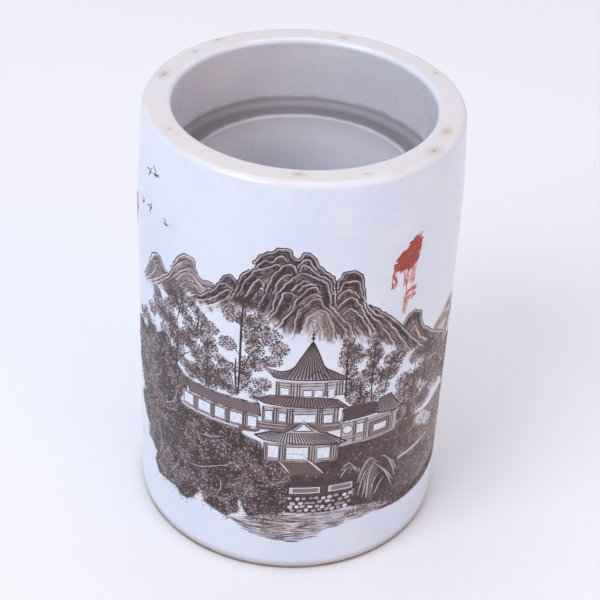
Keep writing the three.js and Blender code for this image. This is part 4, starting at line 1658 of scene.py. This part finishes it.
@dataclass
class Shore:
    """Scholar's rocks beside the steps, and the water in front of the bank."""

    canvas: Canvas
    ripples_each: int = 300

    def paint(self) -> None:
        """Lays the rocks' darks and the water's wash."""
        wash = self.canvas.wash
        for outline, tone in ((((15, 33.6), (15.6, 37), (17.4, 39.6), (19.2, 38.6), (20.4, 35.4),
                                (20.6, 33.4)), 0.92),
                              (((20.2, 24), (20.6, 31), (22, 36.4), (24.6, 39.2), (26.6, 37.4), (26.4, 30),
                                (25, 24)), 0.92),
                              (((24, 22.5), (24.4, 30), (25.8, 36.6), (29.4, 38.4), (32, 36), (34, 31),
                                (35, 24), (34.4, 21.6)), 0.94)):
            wash.lay(outline, tone, 0.22, 1.6, 0.3)
        water = ((0, 22.5), (20, 22.2), (28, 20.6), (34, 18), (30, 17.4), (20, 17), (12, 15.5), (8, 12.8),
                 (3, 11.4), (-3, 12), (-9, 13), (-12, 15), (-16, 17), (-10, 19.4))
        wash.lay(water, 0.2, 0.16, 2.2, 0.5)

    def draw(self) -> None:
        """Draws the folds of the rocks and the ripples."""
        pale = (((24.2, 24), (24.3, 31), (24.8, 34), (26, 36.8)),
                ((26, 36.7), (28, 34.4), (30.5, 31), (32, 28), (33.5, 24.5)),
                ((28.4, 38.2), (30.2, 37.2), (31.8, 34.5), (33.4, 31), (34, 28)),
                ((16, 37.6), (17.4, 39.4), (19, 38.4), (20.2, 35.6)),
                ((21, 31), (22.3, 36), (24.4, 38.9), (26.4, 37.6)), ((21.4, 26), (22.2, 31), (23.4, 35)),
                ((25.6, 26), (26.6, 30), (28, 32)),
                ((27, 24), (28.4, 27.6), (30, 29.6)), ((15.6, 34.4), (16.6, 36.6), (17.8, 37.6)),
                ((22.8, 24.6), (23.4, 28), (23.6, 31)))
        for points in pale:
            self.canvas.light(points, 0.42, 0.14)
            shifted = np.asarray(points) + [0.5, -0.35]
            self.canvas.ink(shifted, 0.36, 1.0)
        rng = np.random.default_rng(Seed.WATER)
        for points in pale[:5]:
            for shift in (1.3, 2.1, 3.0, 3.9):
                inner = np.asarray(points) + [0.62 * shift, -0.6 * shift]
                self.canvas.ink(inner, 0.42, 1.0)
                self.canvas.light(inner[:4] + [-0.4, 0.3], 0.34, rng.uniform(0.2, 0.36))
        self._ripples(rng, ((-2, 22.4), (20, 22), (30, 20), (36, 17.6), (20, 17), (11, 15.2), (8, 12.4),
                            (3, 11), (-3, 11.8), (-9, 12.9), (-12, 14.8), (-16.4, 17), (-10, 19.2)),
                      (0.45, 0.9))
        self._ripples(rng, ((20, 22), (36, 19.6), (60, 19), (80, 22), (95, 27), (95, 24.6), (80, 18),
                            (60, 15.2), (30, 16.8)), (0.65, 1.0))

    def _ripples(self, rng: np.random.Generator, region: Points, tones: Span) -> None:
        """Short level strokes that thin at both ends, a little bowed.

        Args:
            rng: Source of the random draws.
            region: Outline of the region.
            tones: Lowest and highest tone.
        """
        places = scatter(rng, region, self.ripples_each, self.ripples_each * 3)
        share = np.linspace(-1, 1, 5)
        half = rng.uniform(0.9, 2.6, (len(places), 1))
        bow = rng.normal(0, 0.12, (len(places), 1))
        paths = np.stack([places[:, :1] + half * share, places[:, 1:] + bow * (1 - share**2)], axis=-1)
        widths = rng.uniform(0.16, 0.32, (len(places), 1)) * (1.05 - share**2)
        tone = np.repeat(rng.uniform(*tones, (len(places), 1)), 5, axis=1)
        self.canvas.fine.strokes(paths, widths, sepia_at(tone, paths))


@dataclass
class Birds:
    """Birds in the sky: one large and one small in iron red, five far ones in sepia."""

    sizes: PotSizes
    feather_mm: float = 2.4
    far_boldness: float = 1.7

    def build(self, red: Material, brown: Material) -> None:
        """Makes each bird as its own piece in place of its CAD patch.

        Args:
            red: Finish of the red birds.
            brown: Finish of the far birds.
        """
        self._large(red)
        self._small(red)
        self._far(brown)

    def _feathers(self, sheet: InkSheet, rng: np.random.Generator, region: Points, count: int, turn: float,
                  tones: Span, width: float) -> None:
        """Fills a region with short overlapping feather strokes.

        Args:
            sheet: The sheet to draw on.
            rng: Source of the random draws.
            region: Outline of the region.
            count: The most strokes to draw.
            turn: Mean direction of the strokes, in radians.
            tones: Lowest and highest tone.
            width: Full width.
        """
        places = scatter(rng, region, count, count * 4)
        turns = turn + rng.normal(0, 0.3, len(places))
        share = np.linspace(-0.5, 0.5, 5)
        length = self.feather_mm * rng.uniform(0.6, 1.1, len(places))
        step = np.stack([np.cos(turns), np.sin(turns)], axis=-1) * length[:, None]
        paths = places[:, None] + share[None, :, None] * step[:, None]
        widths = width * rng.uniform(0.7, 1.2, (len(places), 1)) * np.array([0.35, 0.9, 1.0, 0.8, 0.3])
        tone = np.repeat(rng.uniform(*tones, (len(places), 1)), 5, axis=1)
        sheet.strokes(paths, widths, Pigment.IRON_RED.colour(tone))

    def _large(self, material: Material) -> None:
        """A bird seen from behind, head up to the right, with a long trailing tail.

        Args:
            material: Its finish.
        """
        rng = np.random.default_rng(Seed.LARGE_BIRD)
        sheet = InkSheet(self.sizes, *BIRD_LIFTS)
        body = ((27, 103), (28.5, 106), (31, 107), (32.5, 109.3), (34.2, 109.8), (35.6, 108), (35.3, 105.5),
                (34.8, 102.4), (33.6, 100.8), (30, 100.6), (27.8, 101.6))
        self._feathers(sheet, rng, body, 260, 0.6, (0.62, 1.0), 0.8)
        self._feathers(sheet, rng, ((26.6, 102.6), (28, 101.8), (27.8, 96.4), (26.6, 96.2)), 22, 1.5,
                       (0.4, 0.8), 0.5)
        self._feathers(sheet, rng, ((30, 100.6), (34.4, 100.6), (33.8, 96), (30.6, 96.4)), 34, 1.4,
                       (0.15, 0.5), 0.55)
        self._feathers(sheet, rng, ((31.6, 94), (34.8, 94), (34.8, 90.8), (31.4, 90.6)), 30, 0.4, (0.3, 0.62),
                       0.6)
        self._feathers(sheet, rng, ((30.6, 90.6), (32.4, 90.8), (32.2, 86.8), (31, 86.8)), 18, 1.5,
                       (0.2, 0.5), 0.5)
        for points in (((34, 109.4), (35.6, 110.4), (36.4, 109.6)), ((27.2, 101.8), (26.4, 99), (27, 95.8)),
                       ((31.4, 100.6), (31, 97), (31.6, 93.6), (31.2, 89.6)),
                       ((33.4, 100.6), (33.8, 97), (33.2, 94))):
            sheet.line(points, 0.34, Pigment.IRON_RED.colour(0.75))
        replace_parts(sheet.build("red_bird", material, "iron_red_enamel"), "red_bird_enamel")

    def _small(self, material: Material) -> None:
        """A small red bird at the left edge of the picture.

        Args:
            material: Its finish.
        """
        rng = np.random.default_rng(Seed.SMALL_BIRD)
        sheet = InkSheet(self.sizes, *BIRD_LIFTS)
        self._feathers(sheet, rng, ((-65.6, 99), (-63.5, 103), (-61, 103.4), (-60.2, 99.6), (-62.2, 96.4)),
                       46, 1.0, (0.3, 0.72), 0.6)
        self._feathers(sheet, rng, ((-63.6, 97), (-62, 97), (-61.6, 94.2), (-63.2, 94.4)), 12, 1.5,
                       (0.2, 0.5), 0.5)
        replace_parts(sheet.build("small_red_bird", material, "iron_red_enamel"), "small_red_bird_enamel")

    def _far(self, material: Material) -> None:
        """Far birds: a body stroke and two bent wings each.

        Args:
            material: Its finish.
        """
        flock = ((-49.1, 117.2, 0.5, 1.0), (-45.6, 118.2, -0.3, 1.1), (-53.4, 106, 0.2, 0.8),
                 (-47.9, 107, 0.7, 1.0), (-39.7, 106.6, -0.5, 0.75))
        for number, (s, z, turn, scale) in enumerate(flock, start=1):
            sheet = InkSheet(self.sizes, *BIRD_LIFTS)
            cosine, sine = math.cos(turn) * scale, math.sin(turn) * scale
            spin = np.array([[cosine, sine], [-sine, cosine]])
            shapes = ((((-0.9, -0.5), (0.1, 0), (1.1, 0.2)), 0.62, 0.78),
                      (((0.1, 0.1), (-0.7, 1.1), (-2, 1.3)), 0.42, 0.72),
                      (((0.3, 0.1), (1.0, 0.9), (1.9, 0.8)), 0.36, 0.66),
                      (((-0.9, -0.5), (-1.6, -0.7)), 0.3, 0.55))
            for points, width, tone in shapes:
                sheet.line(np.array(points) @ spin + [s, z], self.far_boldness * width * scale,
                           Pigment.SEPIA.colour(tone), 0.3)
            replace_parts(sheet.build(f"far_bird_{number}", material, "sepia_enamel"),
                        f"far_bird_enamel_{number}")


# The film's edges: s, then its lowest and highest z there.
FILM_EDGES = ((-61.3, 41, 60), (-51.8, 26, 85), (-44.8, 17.6, 94.5), (-37.7, 16.6, 96.4),
              (-29.8, 15.6, 102.6), (-19.6, 16.6, 102.6),
              (-11.8, 12.5, 108.7), (-3.9, 10.5, 112.8), (3.1, 10.5, 112.8), (9.4, 12.5, 107.7),
              (15.7, 14.6, 105.6),
              (22, 15.6, 95.4), (28.3, 15.6, 88.8), (32.2, 15.6, 84.7), (36.1, 15.6, 86.6), (44.8, 15.2, 76),
              (56.5, 14.6, 78.5),
              (70.7, 15.6, 71.9), (86.4, 18.7, 66), (98.9, 23.8, 55))


@dataclass
class Landscape:
    """The whole painted landscape: one film of wash, then lines and lights part by part."""

    sizes: PotSizes

    def build(self, glaze: Material, enamel: Material) -> None:
        """Paints from the back to the front, then makes the pieces.

        Args:
            glaze: Finish of the wash.
            enamel: Finish of the lines.
        """
        wash = Wash(self.sizes, FILM_EDGES)
        mountains = Mountains(wash)
        mountains.paint()
        rocks = InkSheet(self.sizes, *LINE_LIFTS)
        mountains.draw(rocks)
        blocked = [
            np.array(outline, float) for outline in (
                ((5.4, 84), (7.4, 80), (8.6, 77), (10.2, 74.4), (16.4, 69.4), (14.6, 68.8), (14.6, 64),
                 (16.6, 60), (14.6, 59.4), (14.6, 54.6), (11, 51.8), (16.8, 47.8), (14.2, 47), (14.2, 41.6),
                 (11, 37), (0.6, 36.6), (-2.6, 41.4), (-6.8, 41.6), (-6.8, 48.6), (-9.4, 50), (-8.6, 55),
                 (-7.6, 57), (-7.6, 61.4), (-10.4, 63.5), (-5, 65), (-4.2, 70.6), (-7.2, 73.4), (0, 75.4),
                 (1.2, 77), (3, 80)),
                box_outline(-32.4, -7.6, 50.8, 61.7), box_outline(14.4, 26, 46, 60.1),
                ((26, 60.3), (30, 60.4), (34.8, 54), (32.6, 53.4), (32.6, 45.6), (21, 45.6), (21, 56),
                 (24, 56)),
                box_outline(0.4, 20.2, 22.4, 34.5), ((24, 22), (24.2, 31), (26, 37.5), (30, 38.6), (34, 31),
                                                     (35, 24)),
                box_outline(34.8, 50, 32.6, 35),
            )
        ]
        works = {}
        for name in ("trees", "thicket", "pavilion", "galleries", "shore"):
            works[name] = Canvas(wash, InkSheet(self.sizes, *LINE_LIFTS), InkSheet(self.sizes, *LIGHT_LIFTS),
                                 blocked)
        trees, thicket = Trees(works["trees"]), Thicket(works["thicket"])
        trees.paint()
        thicket.paint()
        shore = Shore(works["shore"])
        shore.paint()
        Galleries(works["galleries"]).paint()
        Pavilion(works["pavilion"]).paint()
        trees.draw()
        thicket.draw()
        shore.draw()
        film = wash.build(glaze)
        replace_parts(film, "landscape_enamel")
        rocks.build("mountain_lines", enamel, "sepia_enamel")
        for name, canvas in works.items():
            canvas.fine.build(f"{name}_lines", enamel, "sepia_enamel")
            if canvas.pale.count:
                canvas.pale.build(f"{name}_lights", enamel, "sepia_enamel")


# ---- The pot ---------------------------------------------------------------------------------


@dataclass(frozen=True)
class Coat:
    """One field of glaze: a closed band of the pot's section, turned round the axis."""

    name: str
    node: str
    slot: str
    face: Array
    back: Array
    turns: int = TURNS

    def build(self, sizes: PotSizes, material: Material, stain: Stain,
              follow: Callable[[Array, Array], Array]) -> Piece:
        """Turns the band and moves it with the clay's unevenness.

        Args:
            sizes: The pot's sizes.
            material: Its glaze.
            stain: Gives the colour and cover of corners from angle, radius and height.
            follow: Gives how much of the wall's unevenness a corner takes, from radius and height.

        Returns:
            The coat, in place of its CAD node.
        """
        profile = np.concatenate([self.face, self.back[::-1]])
        on_axis = profile[:, 0] < 1e-6
        points, quads, angle = revolve(profile, self.turns)
        radius, height = np.hypot(points[:, 0], points[:, 1]), points[:, 2].copy()
        moved = radius + sizes.unevenness(angle, height) * follow(radius, height)
        share = np.where(radius > 1e-6, moved / np.maximum(radius, 1e-6), 1)
        points[:, :2] *= share[:, None]
        points[:, 2] -= sizes.lip_dip(angle) * smooth(sizes.lip_start - LIP_DIP_REACH, sizes.height, height)
        colours = stain(angle, radius, height)
        if on_axis.any():
            points, quads, colours = close_on_axis(points, quads, colours, len(profile), on_axis)
        piece = make_piece(self.name, points, quads, material, colours)
        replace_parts(piece, self.node)
        return piece


def close_on_axis(points: Array, quads: Array, colours: Array, each: int,
                  on_axis: Array) -> tuple[Array, Faces, Array]:
    """Joins the corners that lie on the axis, so that the quads there become triangles.

    Args:
        points: Corners, in millimetres.
        quads: Corner numbers of each quad.
        colours: Colour and cover of each corner.
        each: Corners in one profile.
        on_axis: Which corners of the profile lie on the axis.

    Returns:
        Corners, faces and colours, without the repeats on the axis.
    """
    first = np.arange(len(points))
    rows = first % each
    first = np.where(on_axis[rows], rows, first)
    used, renumbered = np.unique(first, return_inverse=True)
    faces = []
    for face in renumbered[quads].tolist():
        corners_of = tuple(dict.fromkeys(face))
        if len(corners_of) > 2:
            faces.append(corners_of)
    return points[used], faces, colours[used]


def plain(angle: Array, radius: Array, height: Array) -> Array:
    """No stain anywhere."""
    return np.zeros((len(angle), 4))


# Iron specks in the lip's glaze: distance from the axis, degrees round from the front, half width.
IRON_SPECKS = ((39.75, -104.5, 0.6), (41.3, -142, 0.36), (38.7, -1, 0.4), (40.9, 54.5, 0.62),
               (39.3, 70, 0.55),
               (40.4, 118, 0.28), (39.4, -60, 0.2), (40.1, 24, 0.18), (39.2, 165, 0.3), (39.6, -128, 0.3))


@dataclass
class Pot:
    """The pot itself: bare foot, glazes outside and inside, and the clay that they cover."""

    sizes: PotSizes
    shoulder_rows: int = 30
    # Colour of the painted shade on the ledge and in its corner.
    ledge_shade_colour: str = "#554d54"
    crust_colour: str = "#4a3a33"

    def build(self) -> Material:
        """Makes every coat, the foot and its edge, and dresses the clay that stays.

        Returns:
            The outside glaze, for the picture's film to share.
        """
        white = GlazedPorcelain("porcelain_glaze_outside", "#d9dfec", "#d1daec", speck_share=0.8).build()
        cream = GlazedPorcelain("porcelain_glaze_lip", "#d5d1d3", "#d5d3d9", roughness=0.14, cloud_mm=14.0,
                                speck_share=0.8).build()
        inner = GlazedPorcelain("porcelain_glaze_mouth", "#dddde6", "#d7d8e3", roughness=0.3, cloud_mm=18.0,
                                speck_share=0.82).build()
        well = GlazedPorcelain("porcelain_glaze_well", "#e4e4ec", "#dfe0e9", roughness=0.34, cloud_mm=18.0,
                               speck_share=0.82).build()
        foot = FiredClay("bare_porcelain_foot", "#cbbba8", "#b39c84").build(stained=True)
        self._outside(white)
        self._lip(cream)
        self._inside(inner, well)
        self._foot(foot)
        clay = FiredClay("porcelain_clay", "#d9d2c6", "#c8beaf").build(stained=False)
        for node in ("base_slab", "body_wall", "shoulder_ring", "mouth_ring"):
            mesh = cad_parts[node].data
            mesh.materials.clear()
            mesh.materials.append(clay)
        LOG.info("clay sections dressed")
        return white

    def _coat(self, name: str, node: str, slot: str, face: Array, back: Array, material: Material,
              stain: Stain = plain, turns: int = TURNS) -> None:
        """Builds a coat that follows the wall's unevenness outside and none of it in the mouth.

        Args:
            name: The name to give it.
            node: CAD node that it stands for.
            slot: The record's material slot.
            face: Profile of its outer side.
            back: Profile of its hidden side.
            material: Its finish.
            stain: Gives the colour and cover of its corners.
            turns: Steps round the axis.
        """
        inner = self.sizes.mouth_radius + self.sizes.inner_lip_round
        outer = self.sizes.body_radius - self.sizes.lip_inset
        Coat(name, node, slot, face, back, turns).build(
            self.sizes, material, stain, lambda radius, height: smooth(inner, outer - 1.5, radius)
        )

    def _outside(self, material: Material) -> None:
        """The outer glaze: a thick rolled edge above the foot, then the wall up to the lip.

        Args:
            material: Glaze outside.
        """
        size = self.sizes
        glaze, bottom = size.glaze, size.glaze_line
        roll = arc((size.body_radius - glaze, bottom + glaze), glaze, -90, 0, 6)
        low = rise((size.body_radius, bottom + glaze), (size.body_radius, size.shoulder_start), 46)[1:]
        heights = np.linspace(size.shoulder_start, size.lip_start, self.shoulder_rows)[1:]
        high = np.stack([size.wall_radius(heights), heights], axis=-1)
        face = np.concatenate([roll, low, high])
        back = face[5:] - [glaze, 0]
        self._coat("outer_glaze_coat", "outer_glaze", "glaze", face, back, material, self._foot_stain)

    def _foot_stain(self, angle: Array, radius: Array, height: Array) -> Array:
        """Browner glaze in a hair line where it ends above the foot.

        Args:
            angle: Angle of each corner, in radians.
            radius: Distance of each corner from the axis.
            height: Height of each corner.

        Returns:
            Rows of linear colour and cover.
        """
        ragged = 0.35 * np.sin(angle * 23) * np.sin(angle * 7 + 1) + 0.25 * np.sin(angle * 61)
        cover = 0.55 * (1 - smooth(0.3, 1.5 + ragged, height - self.sizes.glaze_line))
        return covered(linear("#8d7a72"), cover)

    def _lip(self, material: Material) -> None:
        """The lip: outer rounding, a flat top a few millimetres wide, inner rounding.

        Args:
            material: Glaze of the lip.
        """
        size = self.sizes

        def section(depth: float) -> Array:
            """The lip's section at a depth in the glaze.

            Args:
                depth: Depth below the glaze's face.

            Returns:
                Rows of radius and height.
            """
            outside = size.body_radius - size.lip_inset - size.lip_round
            inside_centre = size.mouth_radius + size.inner_lip_round
            outer = arc((outside, size.lip_start), size.lip_round - depth, 0, 90, 12)
            top = rise((outside, size.height - depth), (inside_centre, size.height - depth), 14)[1:-1]
            inner = arc((inside_centre, size.height - size.inner_lip_round), size.inner_lip_round - depth, 90,
                        180, 14)
            return np.concatenate([outer, top, inner])

        self._coat("lip_glaze_coat", "lip_glaze", "lip_glaze", section(0), section(size.glaze), material,
                   self._lip_stain, LIP_TURNS)
        self._specks()

    def _lip_stain(self, angle: Array, radius: Array, height: Array) -> Array:
        """Bluer, thicker glaze on both roundings of the wiped cream flat, and rust round the specks.

        Args:
            angle: Angle of each corner, in radians.
            radius: Distance of each corner from the axis.
            height: Height of each corner.

        Returns:
            Rows of linear colour and cover.
        """
        size = self.sizes
        edge = np.abs(radius - (size.mouth_radius + size.body_radius - size.lip_inset) / 2)
        thick = smooth(2.5, 3.7, edge + 0.35 * np.sin(angle * 5 + 2) * np.sin(angle * 13)) * 0.92
        at, degrees, wide = np.array(IRON_SPECKS).T
        turn = np.angle(np.exp(1j * (angle[:, None] - np.radians(degrees))))
        apart = np.hypot(radius[:, None] - at, 0.6 * at * turn) / (2.6 * wide)
        rust = 0.42 * np.exp(-(apart**2)).max(axis=1)
        cover = 1 - (1 - thick) * (1 - rust)
        share = (rust / np.maximum(cover, 1e-6))[:, None]
        return covered(linear("#d6dcea") * (1 - share) + linear("#9a7565") * share, cover)

    def _specks(self) -> None:
        """Iron specks in the lip's glaze: low brown mounds."""
        size, sides = self.sizes, 7
        places = np.array(IRON_SPECKS)
        spin = np.linspace(0, 2 * np.pi, sides, endpoint=False)
        radius, angle, wide = places[:, :1], np.radians(places[:, 1:2]), places[:, 2:]
        ragged = 1 + 0.25 * np.sin(spin * 2 + angle * 5)
        x = radius * np.sin(angle) + wide * ragged * np.cos(spin)
        y = -radius * np.cos(angle) + wide * ragged * np.sin(spin)
        level = size.height - size.lip_dip(angle)
        ring = np.stack([x, y, level - 0.02 + 0 * x], axis=-1)
        crest = np.stack([radius * np.sin(angle), -radius * np.cos(angle), level + 0.015], axis=-1)
        points = np.concatenate([ring, crest], axis=1)
        around = np.arange(sides)
        cone = np.stack([around, (around + 1) % sides, np.full(sides, sides)], axis=-1)
        starts = np.arange(len(places)) * (sides + 1)
        faces = (cone[None] + starts[:, None, None]).reshape(-1, 3).tolist()
        faces += [tuple(reversed(range(start, start + sides))) for start in starts]
        colours = covered(linear("#7d5a48"), np.ones(len(places) * (sides + 1)))
        material = FiredEnamel("iron_spots_in_glaze", roughness=0.2).build()
        make_piece("lip_iron_specks", points.reshape(-1, 3), faces, material, colours)

    def _inside(self, material: Material, deep: Material) -> None:
        """The mouth, the ledge with painted shade on it and in its corner, the well and its floor.

        Args:
            material: Glaze of the mouth.
            deep: Glaze of the well and its floor.
        """
        size = self.sizes
        glaze = size.glaze
        mouth = rise((size.mouth_radius, size.height - size.inner_lip_round),
                     (size.mouth_base_radius, size.mouth_seam), 26)
        # The mouth's wall takes a little painted shade just above the ledge.
        self._coat("mouth_glaze_coat", "mouth_glaze", "inner_glaze", mouth, mouth + [glaze, 0], material,
                   self._ledge_painted_shade)

        def ledge(depth: float) -> Array:
            """The ledge's section at a depth in the glaze.

            Args:
                depth: Depth below the glaze's face.

            Returns:
                Rows of radius and height.
            """
            wall = (size.mouth_base_radius - size.ledge_corner_round, size.mouth_seam)
            edge = (size.well_radius + size.ledge_edge_round, size.ledge_level - size.ledge_edge_round)
            corner = arc(wall, size.ledge_corner_round + depth, 0, -90, 12)
            rim = arc(edge, size.ledge_edge_round - depth, 90, 180, 9)
            return np.concatenate([corner, rise(tuple(corner[-1]), tuple(rim[0]), 12)[1:-1], rim])

        dull = GlazedPorcelain("porcelain_glaze_ledge", "#d3d2db", "#cdcdd8", roughness=0.55, cloud_mm=18.0,
                               speck_share=0.82).build()
        # The ledge takes painted shade over its flat and in its corner.
        self._coat("ledge_glaze_coat", "ledge_glaze", "inner_glaze", ledge(0), ledge(glaze), dull, self._ledge_painted_shade)
        well = rise((size.well_radius, size.ledge_level - size.ledge_edge_round),
                    (size.well_radius, size.cove_top), 40)
        self._coat("well_glaze_coat", "well_glaze", "inner_glaze", well, well + [glaze, 0], deep,
                   self._well_darkening)

        def floor(depth: float) -> Array:
            """The floor's section at a depth in the glaze.

            Args:
                depth: Depth below the glaze's face.

            Returns:
                Rows of radius and height.
            """
            cove = size.cove_top - size.floor_height
            bend = arc((size.well_radius - cove, size.cove_top), cove + depth, 0, -90, 12)
            flat = rise(tuple(bend[-1]), (0.0, size.floor_height - depth), 16)[1:]
            return np.concatenate([bend, flat])

        self._coat("floor_glaze_coat", "floor_glaze", "inner_glaze", floor(0), floor(glaze), deep,
                   self._well_darkening)

    def _ledge_painted_shade(self, angle: Array, radius: Array, height: Array) -> Array:
        """Painted shade, grey-brown, on the ledge and in its corner, fading out up the wall and at its edge.

        Args:
            angle: Angle of each corner, in radians.
            radius: Distance of each corner from the axis.
            height: Height of each corner.

        Returns:
            Rows of linear colour and cover.
        """
        size = self.sizes
        above = (height - size.mouth_seam) / (size.height - size.mouth_seam)
        inwards = (size.mouth_base_radius - radius) / (size.mouth_base_radius - size.well_radius)
        ragged = 0.05 * np.sin(angle * 9 + 1) * np.sin(angle * 4) + 0.02 * np.sin(angle * 31)
        # Painted shade: it rises across the ledge's flat, then fades out at its edge and up the wall.
        flat = 0.6 + 0.2 * smooth(0.1, 0.45, inwards) - 0.6 * smooth(0.76, 1.0, inwards + 0.5 * ragged)
        cover = np.clip(flat * (1 - smooth(-0.02, 0.07 + 0.5 * ragged, above)), 0, 0.88)
        return covered(linear(self.ledge_shade_colour), cover)

    def _well_darkening(self, angle: Array, radius: Array, height: Array) -> Array:
        """Grey darkening in the well: a faint band under the ledge's edge, and more low down, in the cove and
        on the floor.

        Args:
            angle: Angle of each corner, in radians.
            radius: Distance of each corner from the axis.
            height: Height of each corner.

        Returns:
            Rows of linear colour and cover.
        """
        size = self.sizes
        depth = (size.ledge_level - height) / (size.ledge_level - size.floor_height)
        runs = 0.08 * np.sin(angle * 11) * np.sin(angle * 3 + 2)
        cover = np.clip(0.2 * (1 - smooth(0.0, 0.07, depth)) + 0.36 * smooth(0.7 + runs, 1.0, depth), 0, 1)
        return covered(linear("#5d5862"), cover)

    def _foot(self, clay: Material) -> None:
        """The foot ring, wiped bare and scorched at its edge, and the thin glaze under the pot.

        Args:
            clay: Finish of the foot.
        """
        size = self.sizes
        low = size.foot_round
        outside, inside_foot = size.foot_outer_radius, size.foot_inner_radius
        section = np.concatenate([
            arc((inside_foot + low, low), low, 180, 270, 6),
            rise((inside_foot + low, 0.0), (outside - low, 0.0), 8)[1:-1],
            arc((outside - low, low), low, -90, 0, 6),
            rise((outside, low), (outside, size.foot_height), 4)[1:],
            rise((outside, size.foot_height), (inside_foot, size.foot_height), 8)[1:],
            rise((inside_foot, size.foot_height), (inside_foot, low), 4)[1:-1],
        ])
        points, quads, angle = revolve(section, TURNS)
        radius, height = np.hypot(points[:, 0], points[:, 1]), points[:, 2]
        ragged = 0.35 * np.sin(angle * 17) + 0.25 * np.sin(angle * 41 + 1)
        scorch = smooth(outside - 1.8 + ragged, outside - 0.4, radius) * (1 - smooth(0.9, 1.5, height)) * 0.7
        colours = covered(linear(self.crust_colour), scorch)
        piece = make_piece("foot_ring_clay", points, quads, clay, colours)
        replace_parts(piece, "foot_ring")
        under = corners("underside_glaze")
        lower, upper, rim = under[0, 2], under[1, 2], under[1, 0]
        face = rise((0.0, lower), (rim, lower), 20)
        back = rise((0.0, upper), (rim, upper), 20)
        glaze = GlazedPorcelain("porcelain_glaze_underside", "#dfe2ea", "#d3d9e6", roughness=0.16).build()
        Coat("underside_glaze_coat", "underside_glaze", "glaze", face, back).build(
            size, glaze, self._under_stain, lambda radius, height: 0 * radius
        )

    def _under_stain(self, angle: Array, radius: Array, height: Array) -> Array:
        """Faint turning rings and a warm edge where the glaze thins beside the foot.

        Args:
            angle: Angle of each corner, in radians.
            radius: Distance of each corner from the axis.
            height: Height of each corner.

        Returns:
            Rows of linear colour and cover.
        """
        rim = self.sizes.foot_inner_radius
        rings = 0.1 + 0.1 * np.sin(radius * 1.7 + 0.4 * np.sin(angle))
        cover = np.clip(rings + 0.5 * smooth(rim - 3, rim, radius), 0, 1)
        return covered(linear("#b9a898"), cover)


# ---- Scene -----------------------------------------------------------------------------------


@dataclass(frozen=True)
class Studio:
    """A pale table, three softboxes, an even room and the camera."""

    floor_colour: str = "#e9ebf2"
    target_mm: tuple[float, float, float] = (0.0, 0.0, 65.0)
    distance_mm: float = 445.2
    elevation: float = 35.62
    roll: float = 2.94
    lens_mm: float = 92.2
    shift: tuple[float, float] = (0.0087, -0.0038)

    def build(self) -> None:
        """Makes the floor, the lights, the world and the camera."""
        self._floor()
        self._light("key_softbox", (-0.8, -0.8, 1.2), 0.8, 11.0, "#f7f9ff")
        self._light("fill_softbox", (1.0, -0.8, 0.8), 1.1, 5.2, "#ffceb0")
        self._light("top_softbox", (-0.1, 0.1, 1.6), 1.3, 7.8, "#fbfaff")
        self._world()
        self._camera()
        LOG.info("studio ready")

    def _floor(self) -> None:
        """A flat table top of painted board, three metres across."""
        half = 1.5
        mesh = bpy.data.meshes.new("table_top")
        mesh.from_pydata([(-half, -half, 0), (half, -half, 0), (half, half, 0), (-half, half, 0)], [],
                         [(0, 1, 2, 3)])
        material, tree, _ = new_material("matt_white_board")
        surface(tree, Base_Color=opaque(self.floor_colour), Roughness=0.85)
        mesh.materials.append(material)
        table = bpy.data.objects.new("table_top", mesh)
        bpy.context.scene.collection.objects.link(table)

    def _light(self, name: str, place: tuple[float, float, float], size: float, power: float,
               colour: str) -> None:
        """A square softbox that faces the pot.

        Args:
            name: The name to give it.
            place: Where it stands, in metres.
            size: Side of the square, in metres.
            power: Power, in watts.
            colour: Hex colour of the light.
        """
        data = bpy.data.lights.new(name, "AREA")
        data.size, data.energy, data.color = size, power, tuple(linear(colour))
        lamp = bpy.data.objects.new(name, data)
        aim = Vector(self.target_mm) * MM - Vector(place)
        lamp.matrix_world = Matrix.Translation(place) @ aim.to_track_quat("-Z", "Y").to_matrix().to_4x4()
        bpy.context.scene.collection.objects.link(lamp)

    def _world(self) -> None:
        """A pale, even room."""
        world = bpy.data.worlds.new("pale_room")
        world.use_nodes = True
        background = world.node_tree.nodes["Background"]
        background.inputs["Color"].default_value = opaque("#ebecf2")
        background.inputs["Strength"].default_value = 0.66
        bpy.context.scene.world = world
        bpy.context.scene.view_settings.view_transform = "Standard"

    def _camera(self) -> None:
        """A camera in front of the pot, tipped down at it and a little rolled."""
        data = bpy.data.cameras.new("camera")
        data.lens, data.sensor_width = self.lens_mm, 36.0
        data.shift_x, data.shift_y = self.shift
        data.clip_start, data.clip_end = 0.01, 20.0
        height, roll = math.radians(self.elevation), math.radians(self.roll)
        outward = Vector((0, -math.cos(height), math.sin(height)))
        right, up = Vector((1, 0, 0)), Vector((0, math.sin(height), math.cos(height)))
        across = math.cos(roll) * right + math.sin(roll) * up
        upward = math.cos(roll) * up - math.sin(roll) * right
        place = Vector(self.target_mm) * MM + outward * self.distance_mm * MM
        camera = bpy.data.objects.new("camera", data)
        turn = Matrix((across, upward, outward)).transposed().to_4x4()
        camera.matrix_world = Matrix.Translation(place) @ turn
        bpy.context.scene.collection.objects.link(camera)
        bpy.context.scene.camera = camera


def main() -> None:
    """Builds the studio, the pot and its picture."""
    logging.basicConfig(level=logging.INFO, format="%(name)s: %(message)s")
    Studio().build()
    sizes = PotSizes.from_frame()
    pot = Pot(sizes)
    white = pot.build()
    Landscape(sizes).build(white, FiredEnamel("sepia_overglaze_enamel").build())
    Birds(sizes).build(FiredEnamel("iron_red_overglaze_enamel", 0.3).build(),
                       FiredEnamel("far_sepia_enamel", 0.36).build())


if __name__ == "__main__":
    main()
